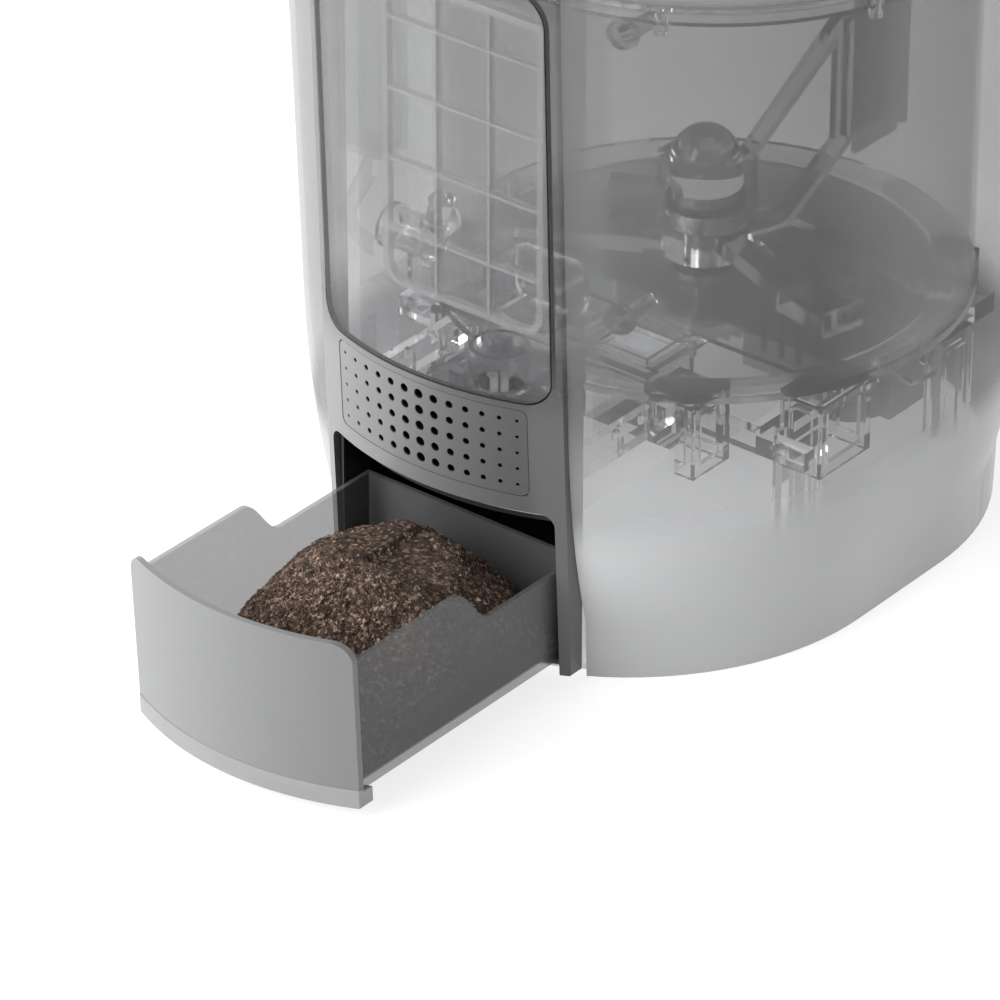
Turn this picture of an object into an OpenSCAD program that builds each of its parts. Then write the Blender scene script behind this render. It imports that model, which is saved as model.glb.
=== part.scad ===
// Electric food waste composter: a barrel-shaped housing with a window front, a stirred drum above,
// and a compost drawer below. Front is -Y, up is +Z, and the origin is on the drum's axis at the floor.
// At rest the drawer stands pulled out and the lid is shut.

/* [Housing] */
// Half width of the housing at its waist
body_r = 155; // [150:1:170]
// How much deeper than wide the housing is
body_stretch = 67; // [60:1:80]
// How far the front arc's centre lies in front of the drum axis
front_offset = 61; // [59:0.5:66]
// Height of the housing's upper edge
shell_top = 398; // [392:1:420]
// Height of the housing's lower edge above the floor
shell_gap = 3; // [2:0.5:4]
// Thickness of the housing's wall
shell_wall = 2.6; // [2:0.1:3]
// Height of the waist, where the tucked-in foot of the barrel starts
waist_z = 144; // [135:1:155]
// Outward slope of the wall above the waist
flare = 0.03; // [0.02:0.005:0.04]
// How far the foot of the barrel is tucked in
tuck = 9.1; // [7:0.1:10]
// Height over which the foot is tucked in
tuck_h = 110; // [100:1:120]

/* [Front panel] */
// Half width of the front panel
front_half = 72; // [71.7:0.1:76]
// Depth of the flanges behind the front panel's side edges, at the waist
flange_d = 14.85; // [12:0.05:16]
// How far the front panel stands proud of the housing at the waist
front_proud = 2.3; // [2:0.1:4]
// Backward lean of the front panel below the waist
front_lean = 0.045; // [0.04:0.005:0.05]
// Thickness of the front panel, window, grille and drawer front
front_t = 3; // [2.5:0.1:3]
// Height of the front panel's lower edge
front_foot = 8; // [7:0.5:9]
// Distance from the front panel's upper edge to the housing's
front_top_gap = 4; // [3:0.5:8]
// Half width of the window
window_half = 66.5; // [60:0.5:66.5]
// Height of the window's lower edge
window_z = 156; // [154:0.5:162]
// Height of the window
window_h = 215; // [190:1:220]
// Radius of the window's lower corners
window_r_low = 12; // [8:0.5:16]
// Radius of the window's upper corners
window_r_high = 22; // [14:0.5:30]
// Width of the seal round the window
seal_w = 0.9; // [0.7:0.1:1.5]

/* [Vent grille] */
// Half width of the vent grille
vent_half = 56; // [54:0.5:60]
// Height of the grille's lower edge
vent_z = 105.5; // [104:0.5:106]
// Height of the grille
vent_h = 46; // [44:0.5:46]
// Distance between two columns of holes, along the grille's curve
vent_pitch_x = 8.7; // [8:0.05:8.7]
// Height between two rows of holes
vent_pitch_z = 8.63; // [8:0.05:8.7]
// Columns of holes on each side of the middle one
vent_side_cols = 6; // [4:1:6]
// Rows of holes
vent_rows = 5; // [3:1:5]
// Radius of the middle column's holes
vent_r_mid = 2.5; // [2:0.1:2.9]
// How much the hole radius falls from column to column
vent_r_step = 0.27; // [0.1:0.01:0.28]

/* [Drawer] */
// Width of the drawer tray
tray_w = 129.6; // [126:0.2:129.6]
// Distance from the drum axis to the shut drawer's back wall
tray_back = 33; // [30:0.5:38]
// Height of the tray's side walls at the front
tray_high = 70.6; // [68:0.2:72]
// Height of the tray's side and back walls at the rear
tray_low = 48.5; // [44:0.5:52]
// Wall thickness of the tray
tray_t = 2.4; // [2:0.1:3]
// How far the drawer front rises above the tray's side walls
front_rise = 10.4; // [8:0.2:11]
// How far the drawer stands pulled out at rest
drawer_pull = 145; // [120:1:145]
// Height of the grip lip under the drawer front
lip_h = 10; // [8:0.5:10]
// Depth of the grip lip
lip_d = 8.4; // [6:0.2:8.4]
// Height of the two runners under the tray
runner_h = 4.2; // [3:0.1:6]
// Width of a runner
runner_w = 8; // [6:0.5:12]
// Wall thickness of the drawer bay
bay_t = 2.4; // [2:0.1:2.4]

/* [Drum] */
// Gap between the drum and the housing at its waist
drum_gap = 24; // [24:0.5:29]
// Wall thickness of the drum
drum_t = 2.5; // [2:0.1:3]
// Height of the drum's underside
drum_z = 123; // [121:0.5:125]
// Height of the drum
drum_h = 201; // [195:1:205]
// Width of the discharge outlet
outlet_w = 36; // [30:0.5:36]
// Depth of the discharge outlet, front to back
outlet_d = 32; // [26:0.5:32]
// How much smaller the feed opening's radius is than the drum's
feed_step = 19; // [17:0.5:27]

/* [Agitator] */
// Radius of the agitator shaft
shaft_r = 7; // [6:0.1:7.5]
// Radius of the agitator's hub
hub_r = 20; // [18:0.2:21]
// Height of the hub's dome top above the drum's underside
dome_top = 74.7; // [70:0.5:78]
// Width of the mixing blade on the long arm
paddle_w = 34; // [30:0.5:36]
// Height of the mixing blade
paddle_h = 134; // [120:1:134]

/* [Drive] */
// Gear module
gear_m = 2; // [1.8:0.1:2]
// Teeth on the gear of the agitator shaft
big_teeth = 40; // [36:2:40]
// Teeth on the idler gear
idler_teeth = 22; // [20:2:22]
// Teeth on the motor pinion
pinion_teeth = 12; // [12:2:14]
// Thickness of the gears
gear_t = 10; // [8:0.5:11]
// Radius of the gear motor's can
motor_r = 22; // [20:0.5:24]
// Length of the gear motor's can
motor_h = 58; // [50:1:62]

/* [Air] */
// Radius of the blower housing
blower_r = 35; // [32:0.5:35]
// Height of the blower housing
blower_h = 42; // [40:0.5:46]
// Number of blades on the blower wheel
fan_blades = 14; // [10:1:18]
// Half width of the filter housing
chamber_half = 60; // [58:0.5:61]
// Height of the filter housing's floor
chamber_z = 153; // [151:0.5:156]
// Depth of the filter housing, front to back
chamber_d = 36; // [34:0.5:37]
// Room for air under the filter cartridge
filter_foot = 23; // [22:0.5:26]
// Room between the filter cartridge and the top of its housing
filter_head = 7; // [5:0.5:9]
// Half width of the filter cartridge
filter_half = 47; // [44:0.5:48]
// Height of the filter cartridge
filter_h = 160; // [150:1:160]

/* [Lid] */
// Height of the lid's crown above the deck
lid_crown = 28; // [26:0.5:32]
// Height of the lid's edge above the deck
lid_edge = 9; // [8:0.5:11]
// Wall thickness of the lid
lid_t = 3; // [2.5:0.1:3.5]
// Depth of the control panel, front to back
panel_d = 50.6; // [46:0.1:52]
// Depth of the fixed hump behind the lid
hump_d = 18.6; // [16:0.1:20]
// Radius of the buttons
button_r = 7; // [6:0.1:8]
// Travel of the buttons
button_travel = 1.2; // [1:0.1:1.4]

/* [Clearances] */
// Gap between fixed panels
panel_gap = 0.4; // [0.3:0.05:0.5]
// Gap between the drawer and what it slides in
slide_gap = 0.3; // [0.2:0.05:0.4]
// Gap between the tray's side walls and the bay
side_gap = 1.5; // [1:0.1:1.5]
// Radial clearance of a shaft in its bore
run_gap = 0.06; // [0.03:0.01:0.1]
// Gap between moving and fixed faces
face_gap = 0.3; // [0.2:0.05:0.4]

/* [Hidden] */

$fn = 96;
eps = 0.01;
big = 600;

// plan of the housing
front_c = -front_offset;
rear_c = body_stretch - front_offset;

// half width of the housing and of the front panel at height z
function shell_r(z) = body_r + (z - waist_z) * flare
    - tuck * pow(max(0, min(1, (waist_z - z) / tuck_h)), 2.3);
function front_r(z) = body_r + front_proud
    + (z - waist_z) * (z > waist_z ? flare : front_lean);

// heights in the stack from floor to drum
foot_h = 5;
pan_t = 3;
pan_top = foot_h + pan_t;
runner_z = pan_top + bay_t;
tray_z = runner_z + runner_h + slide_gap;
tray_half = tray_w / 2;
bay_inner = tray_half + side_gap;
bay_half = bay_inner + bay_t;
heap_room = 14;
bay_low = tray_z + tray_low + heap_room + bay_t;
opening_r = 7;
opening_half = tray_half + 2.2;
opening_top = tray_z + tray_high + front_rise + 1;
bay_high = tray_z + tray_high + 4 + bay_t;
bay_back = tray_back - side_gap - bay_t;
block_front = 112;
block_back = 84;
bay_step = block_front;
lip_z = tray_z + 2 - lip_h;
bay_front_r = front_r(lip_z) - lip_d - 1;
flange_t = 4;
block_top = drum_z - flange_t;
beam_w = 10;
beam_h = 10;
beam_z = bay_low + 8;
beam_x = 97;
rear_block_x = beam_x - beam_w / 2 - 22;
fit_gap = 0.02;
plate_t = 2.5;
plate_z = beam_z + beam_h;
gear_z = plate_z + plate_t + 1.5;
front_inner = front_half - front_t;
slot_half = front_half + panel_gap;
flange_back = front_offset + sqrt(pow(front_r(waist_z), 2) - pow(front_half, 2)) - flange_d;
front_top = shell_top - front_top_gap;
pan_r = shell_r(foot_h) - shell_wall - panel_gap;

// drive: pitch radii, places and phases of the three gears
big_pr = gear_m * big_teeth / 2;
idler_pr = gear_m * idler_teeth / 2;
pinion_pr = gear_m * pinion_teeth / 2;
mesh_gap = 0.1;
idler_dir = 75;
pinion_dir = -8;
idler_at = (big_pr + idler_pr + mesh_gap) * [cos(idler_dir), sin(idler_dir)];
motor_at = idler_at + (idler_pr + pinion_pr + mesh_gap) * [cos(pinion_dir), sin(pinion_dir)];
idler_phase = idler_dir + 180 - 180 / idler_teeth + idler_dir * big_teeth / idler_teeth;
pinion_phase = pinion_dir + 180 - 180 / pinion_teeth
    + (pinion_dir - idler_phase) * idler_teeth / pinion_teeth;
gear_hub_r = 13.5;
axle_r = 4;
motor_shaft_r = 3;

// drum, outlet and gate
drum_r = body_r - drum_gap;
drum_in = drum_r - drum_t;
feed_r = drum_r - feed_step;
floor_top = drum_z + drum_t;
drum_top = drum_z + drum_h;
flange_r = drum_r + 2;
outlet_x = 26;
outlet_y = -86;
gate_t = 2.5;
gate_gap = face_gap;
gate_top = drum_z - gate_gap;
gate_z = gate_top - gate_t;
gate_over = 3;
gate_stroke = outlet_w + 2 * gate_over - 2;
chute_t = 2;
chute_top = gate_z - gate_gap;

// air path
chamber_t = 2;
chamber_inset = 28;
chamber_front = front_offset + body_r - chamber_inset;
chamber_back = chamber_front - chamber_d;
blower_at = [8, 1.5 - (chamber_front + chamber_back) / 2];
blower_z = bay_high;
blower_top = blower_z + blower_h;
rail_h = 10;
rail_top = block_top - 1;
rail_x0 = chamber_half - 3;
rail_x1 = front_inner - 0.4;
chamber_h = filter_foot + filter_h + filter_head;
filter_z = chamber_z + filter_foot;
grid_t = 4;

// deck, lid and hinge
deck_t = 6.5;
deck_top = shell_top + deck_t;
deck_r = shell_r(shell_top);
lid_z = deck_top + 0.5;
panel_edge = 5;
panel_back = front_offset + deck_r - panel_edge - panel_d;
lid_front = panel_back - 3;
hump_y = rear_c + deck_r - hump_d;
hinge_y = hump_y - 14;
lid_back = hinge_y - 10;
hinge_z = deck_top + 11.5;
barrel_r = 7;
barrel_half = 62;
pin_r = 3;
ear_w = 10;
panel_t = 2.5;
button_pitch = 34;
button_xs = [-button_pitch, 0, button_pitch];
button_y = -panel_back - 22;
button_r_hole = button_r + 0.25;
button_stem_r = 3;
button_proud = 1.6;

// ---- shapes that several pieces share ----

// rectangle from (x0, z0) to (x1, z1) with its own radius for the lower and the upper corners
module rounded(x0, x1, z0, z1, r_low, r_high) {
    difference() {
        translate([x0, z0]) square([x1 - x0, z1 - z0]);
        for (side = [0, 1], high = [0, 1]) {
            r = high == 1 ? r_high : r_low;
            cx = side == 1 ? x1 - r : x0 + r;
            cz = high == 1 ? z1 - r : z0 + r;
            difference() {
                translate([side == 1 ? cx : x0 - 1, high == 1 ? cz : z0 - 1]) square(r + 1);
                translate([cx, cz]) circle(r);
            }
        }
    }
}

// a front-view outline, cut through everything in front of y = -from
module through_front(from = 0) {
    translate([0, -from, 0]) rotate([90, 0, 0]) linear_extrude(big) children();
}

// a side-view (y, z) outline, extruded over x0..x1
module across(x0, x1) {
    translate([x0, 0, 0]) rotate([90, 0, 90]) linear_extrude(x1 - x0) children();
}

// box given by its two corners
module block(low, high) {
    translate(low) cube(high - low);
}

module tube(r_out, r_in, z0, z1) {
    translate([0, 0, z0]) difference() {
        cylinder(r = r_out, h = z1 - z0);
        translate([0, 0, -1]) cylinder(r = r_in, h = z1 - z0 + 2);
    }
}

module rod(r, z0, z1) {
    translate([0, 0, z0]) cylinder(r = r, h = z1 - z0);
}

// sweep an (r, z) outline round the housing's plan: two half turns and the straight run between
module round_plan() {
    translate([0, front_c, 0]) rotate(180) rotate_extrude(angle = 180) children();
    translate([0, rear_c, 0]) rotate_extrude(angle = 180) children();
    translate([0, rear_c, 0]) rotate([90, 0, 0]) linear_extrude(body_stretch) {
        children();
        mirror([1, 0]) children();
    }
}

// flat plate in the housing's plan, with outer radius r
module plan_plate(r, z0, z1) {
    round_plan() translate([0, z0]) square([r, z1 - z0]);
}

// upright ring in the housing's plan
module plan_ring(r_out, r_in, z0, z1) {
    round_plan() translate([r_in, z0]) square([r_out - r_in, z1 - z0]);
}

// solid bounded by the front panel's outer surface, drawn in by inset
module front_solid(inset, z0, z1) {
    translate([0, front_c, 0]) rotate(180) rotate_extrude(angle = 180)
        polygon(concat(
            [[0, z0], [front_r(z0) - inset, z0]],
            z0 < waist_z && z1 > waist_z ? [[front_r(waist_z) - inset, waist_z]] : [],
            [[front_r(z1) - inset, z1], [0, z1]]));
}

// skin of the front panel's surface between two insets
module front_skin(inset, t, z0, z1) {
    difference() {
        front_solid(inset, z0, z1);
        front_solid(inset + t, z0 - 1, z1 + 1);
    }
}

// ---- housing ----

shell_low_steps = 9;
shell_high_steps = 4;
shell_levels = concat(
    [shell_gap],
    [for (i = [0:shell_low_steps]) waist_z - tuck_h + tuck_h * i / shell_low_steps],
    [for (i = [1:shell_high_steps]) waist_z + (shell_top - waist_z) * i / shell_high_steps]);

module outer_shell() {
    color([0.72, 0.73, 0.75, 0.5]) difference() {
        round_plan() polygon(concat(
            [for (z = shell_levels) [shell_r(z), z]],
            [for (i = [len(shell_levels) - 1:-1:0])
                [shell_r(shell_levels[i]) - shell_wall, shell_levels[i]]]));
        block([-slot_half, -big, 0], [slot_half, -100, shell_top + 1]);
        rotate(180) through_front(100) rear_grille_outline(panel_gap);
        rotate(180) through_front(100) inlet_outline(panel_gap);
    }
}

module base_pan() {
    color("dimgray") difference() {
        union() {
            plan_plate(pan_r, foot_h, pan_top);
            plan_ring(pan_r, pan_r - 2.5, pan_top - eps, pan_top + 8);
        }
        block([-slot_half, -big, pan_top], [slot_half, front_c - front_half, big]);
    }
}

foot_inset = 12.7;
foot_r = pan_r - foot_inset;
foot_w = 14;

module foot_ring() {
    color([0.12, 0.12, 0.13]) plan_ring(foot_r, foot_r - foot_w, 0, foot_h);
}

module window_outline(grow) {
    rounded(-window_half - grow, window_half + grow, window_z - grow, window_z + window_h + grow,
        window_r_low + grow, window_r_high + grow);
}

module vent_outline(grow) {
    rounded(-vent_half - grow, vent_half + grow, vent_z - grow, vent_z + vent_h + grow, 4, 4);
}

module front_panel() {
    color([0.55, 0.56, 0.58]) difference() {
        intersection() {
            front_solid(0, front_foot, front_top);
            through_front(flange_back)
                rounded(-front_half, front_half, front_foot, front_top, 1, 9);
        }
        intersection() {
            front_solid(front_t, 0, shell_top);
            block([-front_inner, -big, 0], [front_inner, 0, shell_top]);
        }
        through_front() window_outline(seal_w + 0.1);
        through_front() vent_outline(panel_gap);
        through_front() rounded(-opening_half, opening_half, -20, opening_top, 1, opening_r);
    }
}

module window_panel() {
    color([0.8, 0.81, 0.83, 0.4]) intersection() {
        front_skin(0, front_t, window_z - 1, window_z + window_h + 1);
        through_front() window_outline(0);
    }
}

module window_seal() {
    color([0.05, 0.05, 0.05]) intersection() {
        front_skin(0.5, front_t - 0.8, window_z - 2, window_z + window_h + 2);
        difference() {
            through_front() window_outline(seal_w);
            through_front() window_outline(0.1);
        }
    }
}

module vent_grille() {
    hole_z0 = vent_z + (vent_h - (vent_rows - 1) * vent_pitch_z) / 2;
    vent_angle = vent_pitch_x / front_r(vent_z + vent_h / 2) * 180 / PI;
    color([0.6, 0.61, 0.63]) difference() {
        intersection() {
            front_skin(0.2, front_t - 0.6, vent_z - 1, vent_z + vent_h + 1);
            through_front() vent_outline(0);
        }
        for (col = [-vent_side_cols:vent_side_cols], row = [0:vent_rows - 1])
            translate([0, front_c, hole_z0 + row * vent_pitch_z])
                rotate([90, 0, col * vent_angle])
                    translate([0, 0, front_r(vent_z) - 15])
                        cylinder(r = vent_r_mid - vent_r_step * abs(col), h = 30, $fn = 24);
    }
}

// ---- drawer bay and what stands on the base ----

module bay_profile(inset) {
    polygon([[-big, pan_top + inset], [-bay_back - inset, pan_top + inset],
        [-bay_back - inset, bay_low - inset], [-bay_step - inset, bay_low - inset],
        [-bay_step - inset, bay_high - inset], [-big, bay_high - inset]]);
}

module drawer_bay() {
    color([0.16, 0.16, 0.17]) difference() {
        intersection() {
            across(-bay_half, bay_half) bay_profile(0);
            translate([0, front_c, 0]) {
                rod(front_r(front_foot) - front_t - 0.5, lip_z + lip_h + 1, big);
                rod(bay_front_r, 0, lip_z + lip_h + 1 + eps);
                block([-bay_half, 0, 0], [bay_half, big, big]);
            }
        }
        across(-bay_inner, bay_inner) bay_profile(bay_t);
        chute_block(chute_t + panel_gap, bay_low - bay_t - 1, bay_low + 1);
    }
}

module drawer_runners() {
    color("gray") for (side = [-1, 1]) intersection() {
        block([side * 48 - runner_w / 2, -big, runner_z],
            [side * 48 + runner_w / 2, -bay_back - bay_t - 1, runner_z + runner_h]);
        translate([0, front_c, 0]) {
            rod(bay_front_r - 1, 0, big);
            block([-bay_half, 0, 0], [bay_half, big, big]);
        }
    }
}

module front_rails() {
    color([0.7, 0.7, 0.72]) for (side = [-1, 1]) difference() {
        block([side > 0 ? rail_x0 : -rail_x1, -flange_back - 6, rail_top - rail_h],
            [side > 0 ? rail_x1 : -rail_x0, -block_front, rail_top]);
        for (y = [-150, -130])
            translate([side * (rail_x0 + rail_x1) / 2, y, 0]) rod(2, 0, big);
    }
}

leg_w = beam_w;
leg_d = 26;
leg_ys = [-52, 72];
rear_beam_y = 92;
front_beam_y = block_back;
cross_x = [52, 124];
front_bracket_x = [50, 80];
side_bracket_x = 126;
side_bracket_ys = [-74, -34];

module chassis_frame() {
    color([0.75, 0.76, 0.78]) {
        difference() {
            union() {
                for (side = [-1, 1]) {
                    block([side * beam_x - beam_w / 2, -front_beam_y, beam_z],
                        [side * beam_x + beam_w / 2, rear_beam_y + beam_w, plate_z]);
                    mirror([side > 0 ? 0 : 1, 0, 0]) block([cross_x[0], -front_beam_y, beam_z],
                        [cross_x[1], -front_beam_y + 8, plate_z]);
                }
                block([-beam_x, rear_beam_y, beam_z], [beam_x, rear_beam_y + beam_w, plate_z]);
            }
            for (side = [-1, 1], y = [-20, 10, 40])
                translate([side * beam_x, y, 0]) rod(2.5, 0, big);
        }
    }
}

module chassis_legs() {
    color([0.8, 0.81, 0.83]) for (side = [-1, 1], y = leg_ys) {
        x = side * beam_x;
        difference() {
            block([x - leg_w / 2, y - leg_d / 2, pan_top], [x + leg_w / 2, y + leg_d / 2, beam_z]);
            for (face = [-1, 1])
                translate([x + face * leg_w / 2, y, (pan_top + beam_z) / 2])
                    cube([leg_w - 6, leg_d - 8, beam_z - pan_top - 16], center = true);
        }
    }
}

// hollow bracket with a window in each side
module bracket(low, high, wall = 3, rim = 6) {
    difference() {
        block(low, high);
        block(low + [wall, wall, -1], high - [wall, wall, wall]);
        block([low.x - 1, low.y + rim, low.z + rim], [high.x + 1, high.y - rim, high.z - rim]);
        block([low.x + rim, low.y - 1, low.z + rim], [high.x - rim, high.y + 1, high.z - rim]);
    }
}

module drum_brackets() {
    color([0.8, 0.81, 0.83]) for (side = [0, 1]) mirror([side, 0, 0]) {
        bracket([front_bracket_x[0], -block_front, bay_low],
            [front_bracket_x[1], -block_back, block_top]);
        bracket([beam_x + beam_w / 2, side_bracket_ys[0], beam_z - 8],
            [side_bracket_x, side_bracket_ys[1], block_top]);
        bracket([rear_block_x, rear_beam_y - 10, plate_z],
            [beam_x - beam_w / 2, rear_beam_y + beam_w, block_top]);
    }
}

// ---- drum ----

module chute_block(grow, z0, z1) {
    block([outlet_x - outlet_w / 2 - grow, outlet_y - outlet_d / 2 - grow, z0],
        [outlet_x + outlet_w / 2 + grow, outlet_y + outlet_d / 2 + grow, z1]);
}

module port_outline(grow) {
    rounded(port_x - port_w / 2 - grow, port_x + port_w / 2 + grow,
        port_z - port_h / 2 - grow, port_z + port_h / 2 + grow, 5 + grow, 5 + grow);
}

port_x = 7;
port_w = 36;
port_z = chamber_z + 18;
port_h = 24;
port_rim = 4;

module drum() {
    color([0.62, 0.63, 0.65, 0.5]) difference() {
        rod(drum_r, drum_z, drum_top);
        rod(drum_in, floor_top, drum_top + 1);
        rod(shaft_r + 2, 0, floor_top + 1);
        chute_block(0, 0, floor_top + 1);
        through_front(60) port_outline(0);
    }
}

module drum_flange() {
    color([0.72, 0.73, 0.75]) difference() {
        union() {
            tube(flange_r, drum_r - 16, block_top, drum_z);
            for (a = [-9, 189]) rotate(a)
                block([flange_r - 4, -8, block_top + 1], [shell_r(block_top) - shell_wall - 0.5, 8, drum_z]);
        }
        chute_block(gate_over + 6, 0, big);
        block([outlet_x - outlet_w / 2 - gate_over - gate_stroke - 6,
            outlet_y - outlet_d / 2 - gate_over - 6, 0],
            [outlet_x, outlet_y + outlet_d / 2 + gate_over + 6, big]);
    }
}

module drum_top_ring() {
    color([0.55, 0.56, 0.58]) {
        tube(drum_r + 6, drum_r + 0.2, drum_top - 6, drum_top);
        for (a = [-62, -20, 20, 90, 160, 200, 242]) rotate(a)
            translate([drum_r + 8.5, 0, 0]) tube(3.4, 1.6, drum_top - 9, drum_top);
    }
}

module feed_funnel() {
    color([0.66, 0.67, 0.69, 0.6]) rotate_extrude() polygon([
        [drum_in - 1, drum_top], [drum_r + 6, drum_top], [drum_r + 6, drum_top + 2.5],
        [drum_in + 1.5, drum_top + 2.5], [feed_r + 4, shell_top - 6], [feed_r + 4, shell_top],
        [feed_r + 1.5, shell_top], [feed_r + 1.5, shell_top - 7]]);
}

heater_t = 1.5;
heater_r = drum_r - 19;

module heater_plate() {
    color([0.75, 0.45, 0.2]) difference() {
        tube(heater_r, gear_hub_r + 8, drum_z - heater_t, drum_z);
        block([-big, -big, 0], [big, -40, big]);
    }
}

collar_h = 4;

module outlet_collar() {
    slope = 5;
    color([0.7, 0.71, 0.73]) difference() {
        translate([0, 0, floor_top]) union() {
            block([outlet_x - outlet_w / 2 - slope - 4, outlet_y - outlet_d / 2 - 3, 0],
                [outlet_x + outlet_w / 2 + slope + 4, outlet_y + outlet_d / 2 + 3, 2]);
            chute_block(2, 0, collar_h);
        }
        chute_block(0, 0, big);
    }
}

module outlet_chute() {
    color([0.6, 0.61, 0.63]) difference() {
        union() {
            chute_block(chute_t, bay_low - bay_t - 4, chute_top);
            chute_block(chute_t + 4, bay_low, bay_low + 2);
            // guide strips that carry the gate on both sides of its travel
            for (side = [-1, 1])
                block([outlet_x - outlet_w / 2 - gate_over - gate_stroke, gate_y(side) - 1.5, chute_top - 3],
                    [outlet_x + outlet_w / 2 + gate_over, gate_y(side) + 1.5, chute_top]);
        }
        chute_block(0, 0, big);
    }
}

function gate_y(side) = outlet_y + side * (outlet_d / 2 + 1.5);

module discharge_gate() {
    color([0.75, 0.76, 0.78]) {
        block([outlet_x - outlet_w / 2 - gate_over, outlet_y - outlet_d / 2 - gate_over, gate_z],
            [outlet_x + outlet_w / 2 + gate_over, outlet_y + outlet_d / 2 + gate_over, gate_top]);
        block([outlet_x - outlet_w / 2 - gate_over - 2, outlet_y - 8, gate_z - 5],
            [outlet_x - outlet_w / 2 - gate_over, outlet_y + 8, gate_top]);
    }
}

pin_x = 42;
pin_len = 27;
breaker_r = 4.5;
breaker_zs = [34, 183];
pin_wall_y = -sqrt(pow(drum_in, 2) - pow(pin_x, 2));

module breaker_pins() {
    color([0.8, 0.81, 0.83]) for (h = breaker_zs) intersection() {
        union() {
            translate([pin_x, -drum_in, drum_z + h]) rotate([-90, 0, 0])
                cylinder(r = breaker_r, h = drum_in + pin_wall_y + pin_len - 2);
            translate([pin_x, pin_wall_y + pin_len - 2, drum_z + h]) rotate([-90, 0, 0])
                cylinder(r1 = breaker_r, r2 = breaker_r - 1.5, h = 2);
            translate([pin_x, -drum_in, drum_z + h]) rotate([-90, 0, 0])
                cylinder(r = breaker_r + 3, h = drum_in + pin_wall_y + 4);
        }
        rod(drum_in, drum_z, drum_top);
    }
}

// ---- agitator ----

shaft_low = plate_z - 5;
hub_z = floor_top + 5;
band_z = drum_z + 25;
dome_z = drum_z + 34;
dome_top_z = drum_z + dome_top;

module shaft_seal() {
    color([0.1, 0.1, 0.1]) tube(14, shaft_r + run_gap, floor_top, hub_z - face_gap);
}

module shaft_bearings() {
    color([0.8, 0.8, 0.82]) {
        tube(16, shaft_r + run_gap, gear_z + gear_t + 3, drum_z);
        tube(16, shaft_r + run_gap, plate_z - 4, plate_z);
    }
}

module agitator_shaft() {
    color([0.75, 0.76, 0.78]) {
        rod(shaft_r, shaft_low, band_z);
        rod(hub_r - 6, band_z, dome_z + 8);
    }
}

module agitator_hub() {
    color([0.4, 0.41, 0.42]) tube(hub_r + 0.5, shaft_r + fit_gap, hub_z, band_z);
}

module hub_band() {
    color([0.85, 0.86, 0.88]) tube(hub_r, hub_r - 6 + fit_gap, band_z, dome_z);
}

module hub_dome() {
    r_top = hub_r - 2.5;
    shoulder = dome_top_z - r_top;
    color([0.55, 0.56, 0.58, 0.8]) difference() {
        rotate_extrude() polygon(concat(
            [[0, dome_z], [hub_r, dome_z]],
            [for (a = [0:10:80]) [r_top * cos(a), shoulder + r_top * sin(a)]],
            [[0, dome_top_z]]));
        rod(hub_r - 6 + fit_gap, 0, dome_z + 8.1);
    }
}

blade_t = 3;
blade_at = [33, drum_in - 54.5];
arm_dir_a = atan2(blade_at.y, blade_at.x) + 4;
arm_dir_b = -14;
arm_dir_c = 208;
reach_a = norm(blade_at) + 1;
reach_b = drum_in - 22.5;
reach_c = drum_in - 18.5;
blade_z = floor_top + 38.5;
sweep = collar_h + 1.5;

// an arm: an upright (r, z) outline measured from the shaft and the drum's floor, of width w
module arm(dir, w, points) {
    rotate(dir) translate([0, w / 2, floor_top]) rotate([90, 0, 0]) linear_extrude(w) polygon(points);
}

module mixing_arms() {
    root = hub_r - 3;
    inner = hub_r + 8;
    color([0.7, 0.71, 0.73]) difference() {
        union() {
            // long arm to the mixing blade: a low rib and a steep rib joined at both ends
            difference() {
                arm(arm_dir_a, 7, [[root, 6], [reach_a - 35, 6], [reach_a, 42], [reach_a, 112],
                    [reach_a - 8, 112], [root, 47]]);
                arm(arm_dir_a, 9, [[inner, 14], [reach_a - 38, 14], [reach_a - 8, 45],
                    [reach_a - 8, 100], [inner, 50]]);
            }
            // sloping arm and its floor shoe
            arm(arm_dir_b, 17, [[root, 14], [root, 22], [reach_b - 32, 15], [reach_b - 32, 7]]);
            arm(arm_dir_b, 24, [[reach_b - 36, sweep], [reach_b - 36, 14], [reach_b - 30, 20],
                [reach_b, 20], [reach_b, sweep]]);
            // low arm with an upright block near the hub
            arm(arm_dir_c, 15, [[root, 6], [root, 14], [reach_c - 12, 14], [reach_c - 12, 6]]);
            arm(arm_dir_c, 24, [[inner, 6], [inner, 36], [inner + 20, 36], [inner + 24, 30],
                [inner + 24, 6]]);
            arm(arm_dir_c, 30, [[reach_c - 16, sweep], [reach_c - 16, 22], [reach_c - 8, 22],
                [reach_c, sweep]]);
            // pad that carries the mixing blade
            block([blade_at.x - 5, blade_at.y - 4, floor_top + 48],
                [blade_at.x, blade_at.y + 28, floor_top + 111]);
        }
        rod(hub_r + 0.5 + fit_gap, 0, band_z);
        rod(hub_r + fit_gap, band_z - eps, dome_top_z);
    }
}

module mixing_blade() {
    color([0.45, 0.46, 0.48]) difference() {
        union() {
            block([blade_at.x, blade_at.y, blade_z],
                [blade_at.x + blade_t, blade_at.y + paddle_w, blade_z + paddle_h]);
            block([blade_at.x, blade_at.y + paddle_w - 2.5, blade_z + 6],
                [blade_at.x + 9, blade_at.y + paddle_w, blade_z + paddle_h]);
        }
        for (h = [26, 60])
            translate([0, blade_at.y + 20, blade_z + h]) rotate([0, 90, 0]) cylinder(r = 2.2, h = 60);
    }
}

// ---- drive ----

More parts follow.
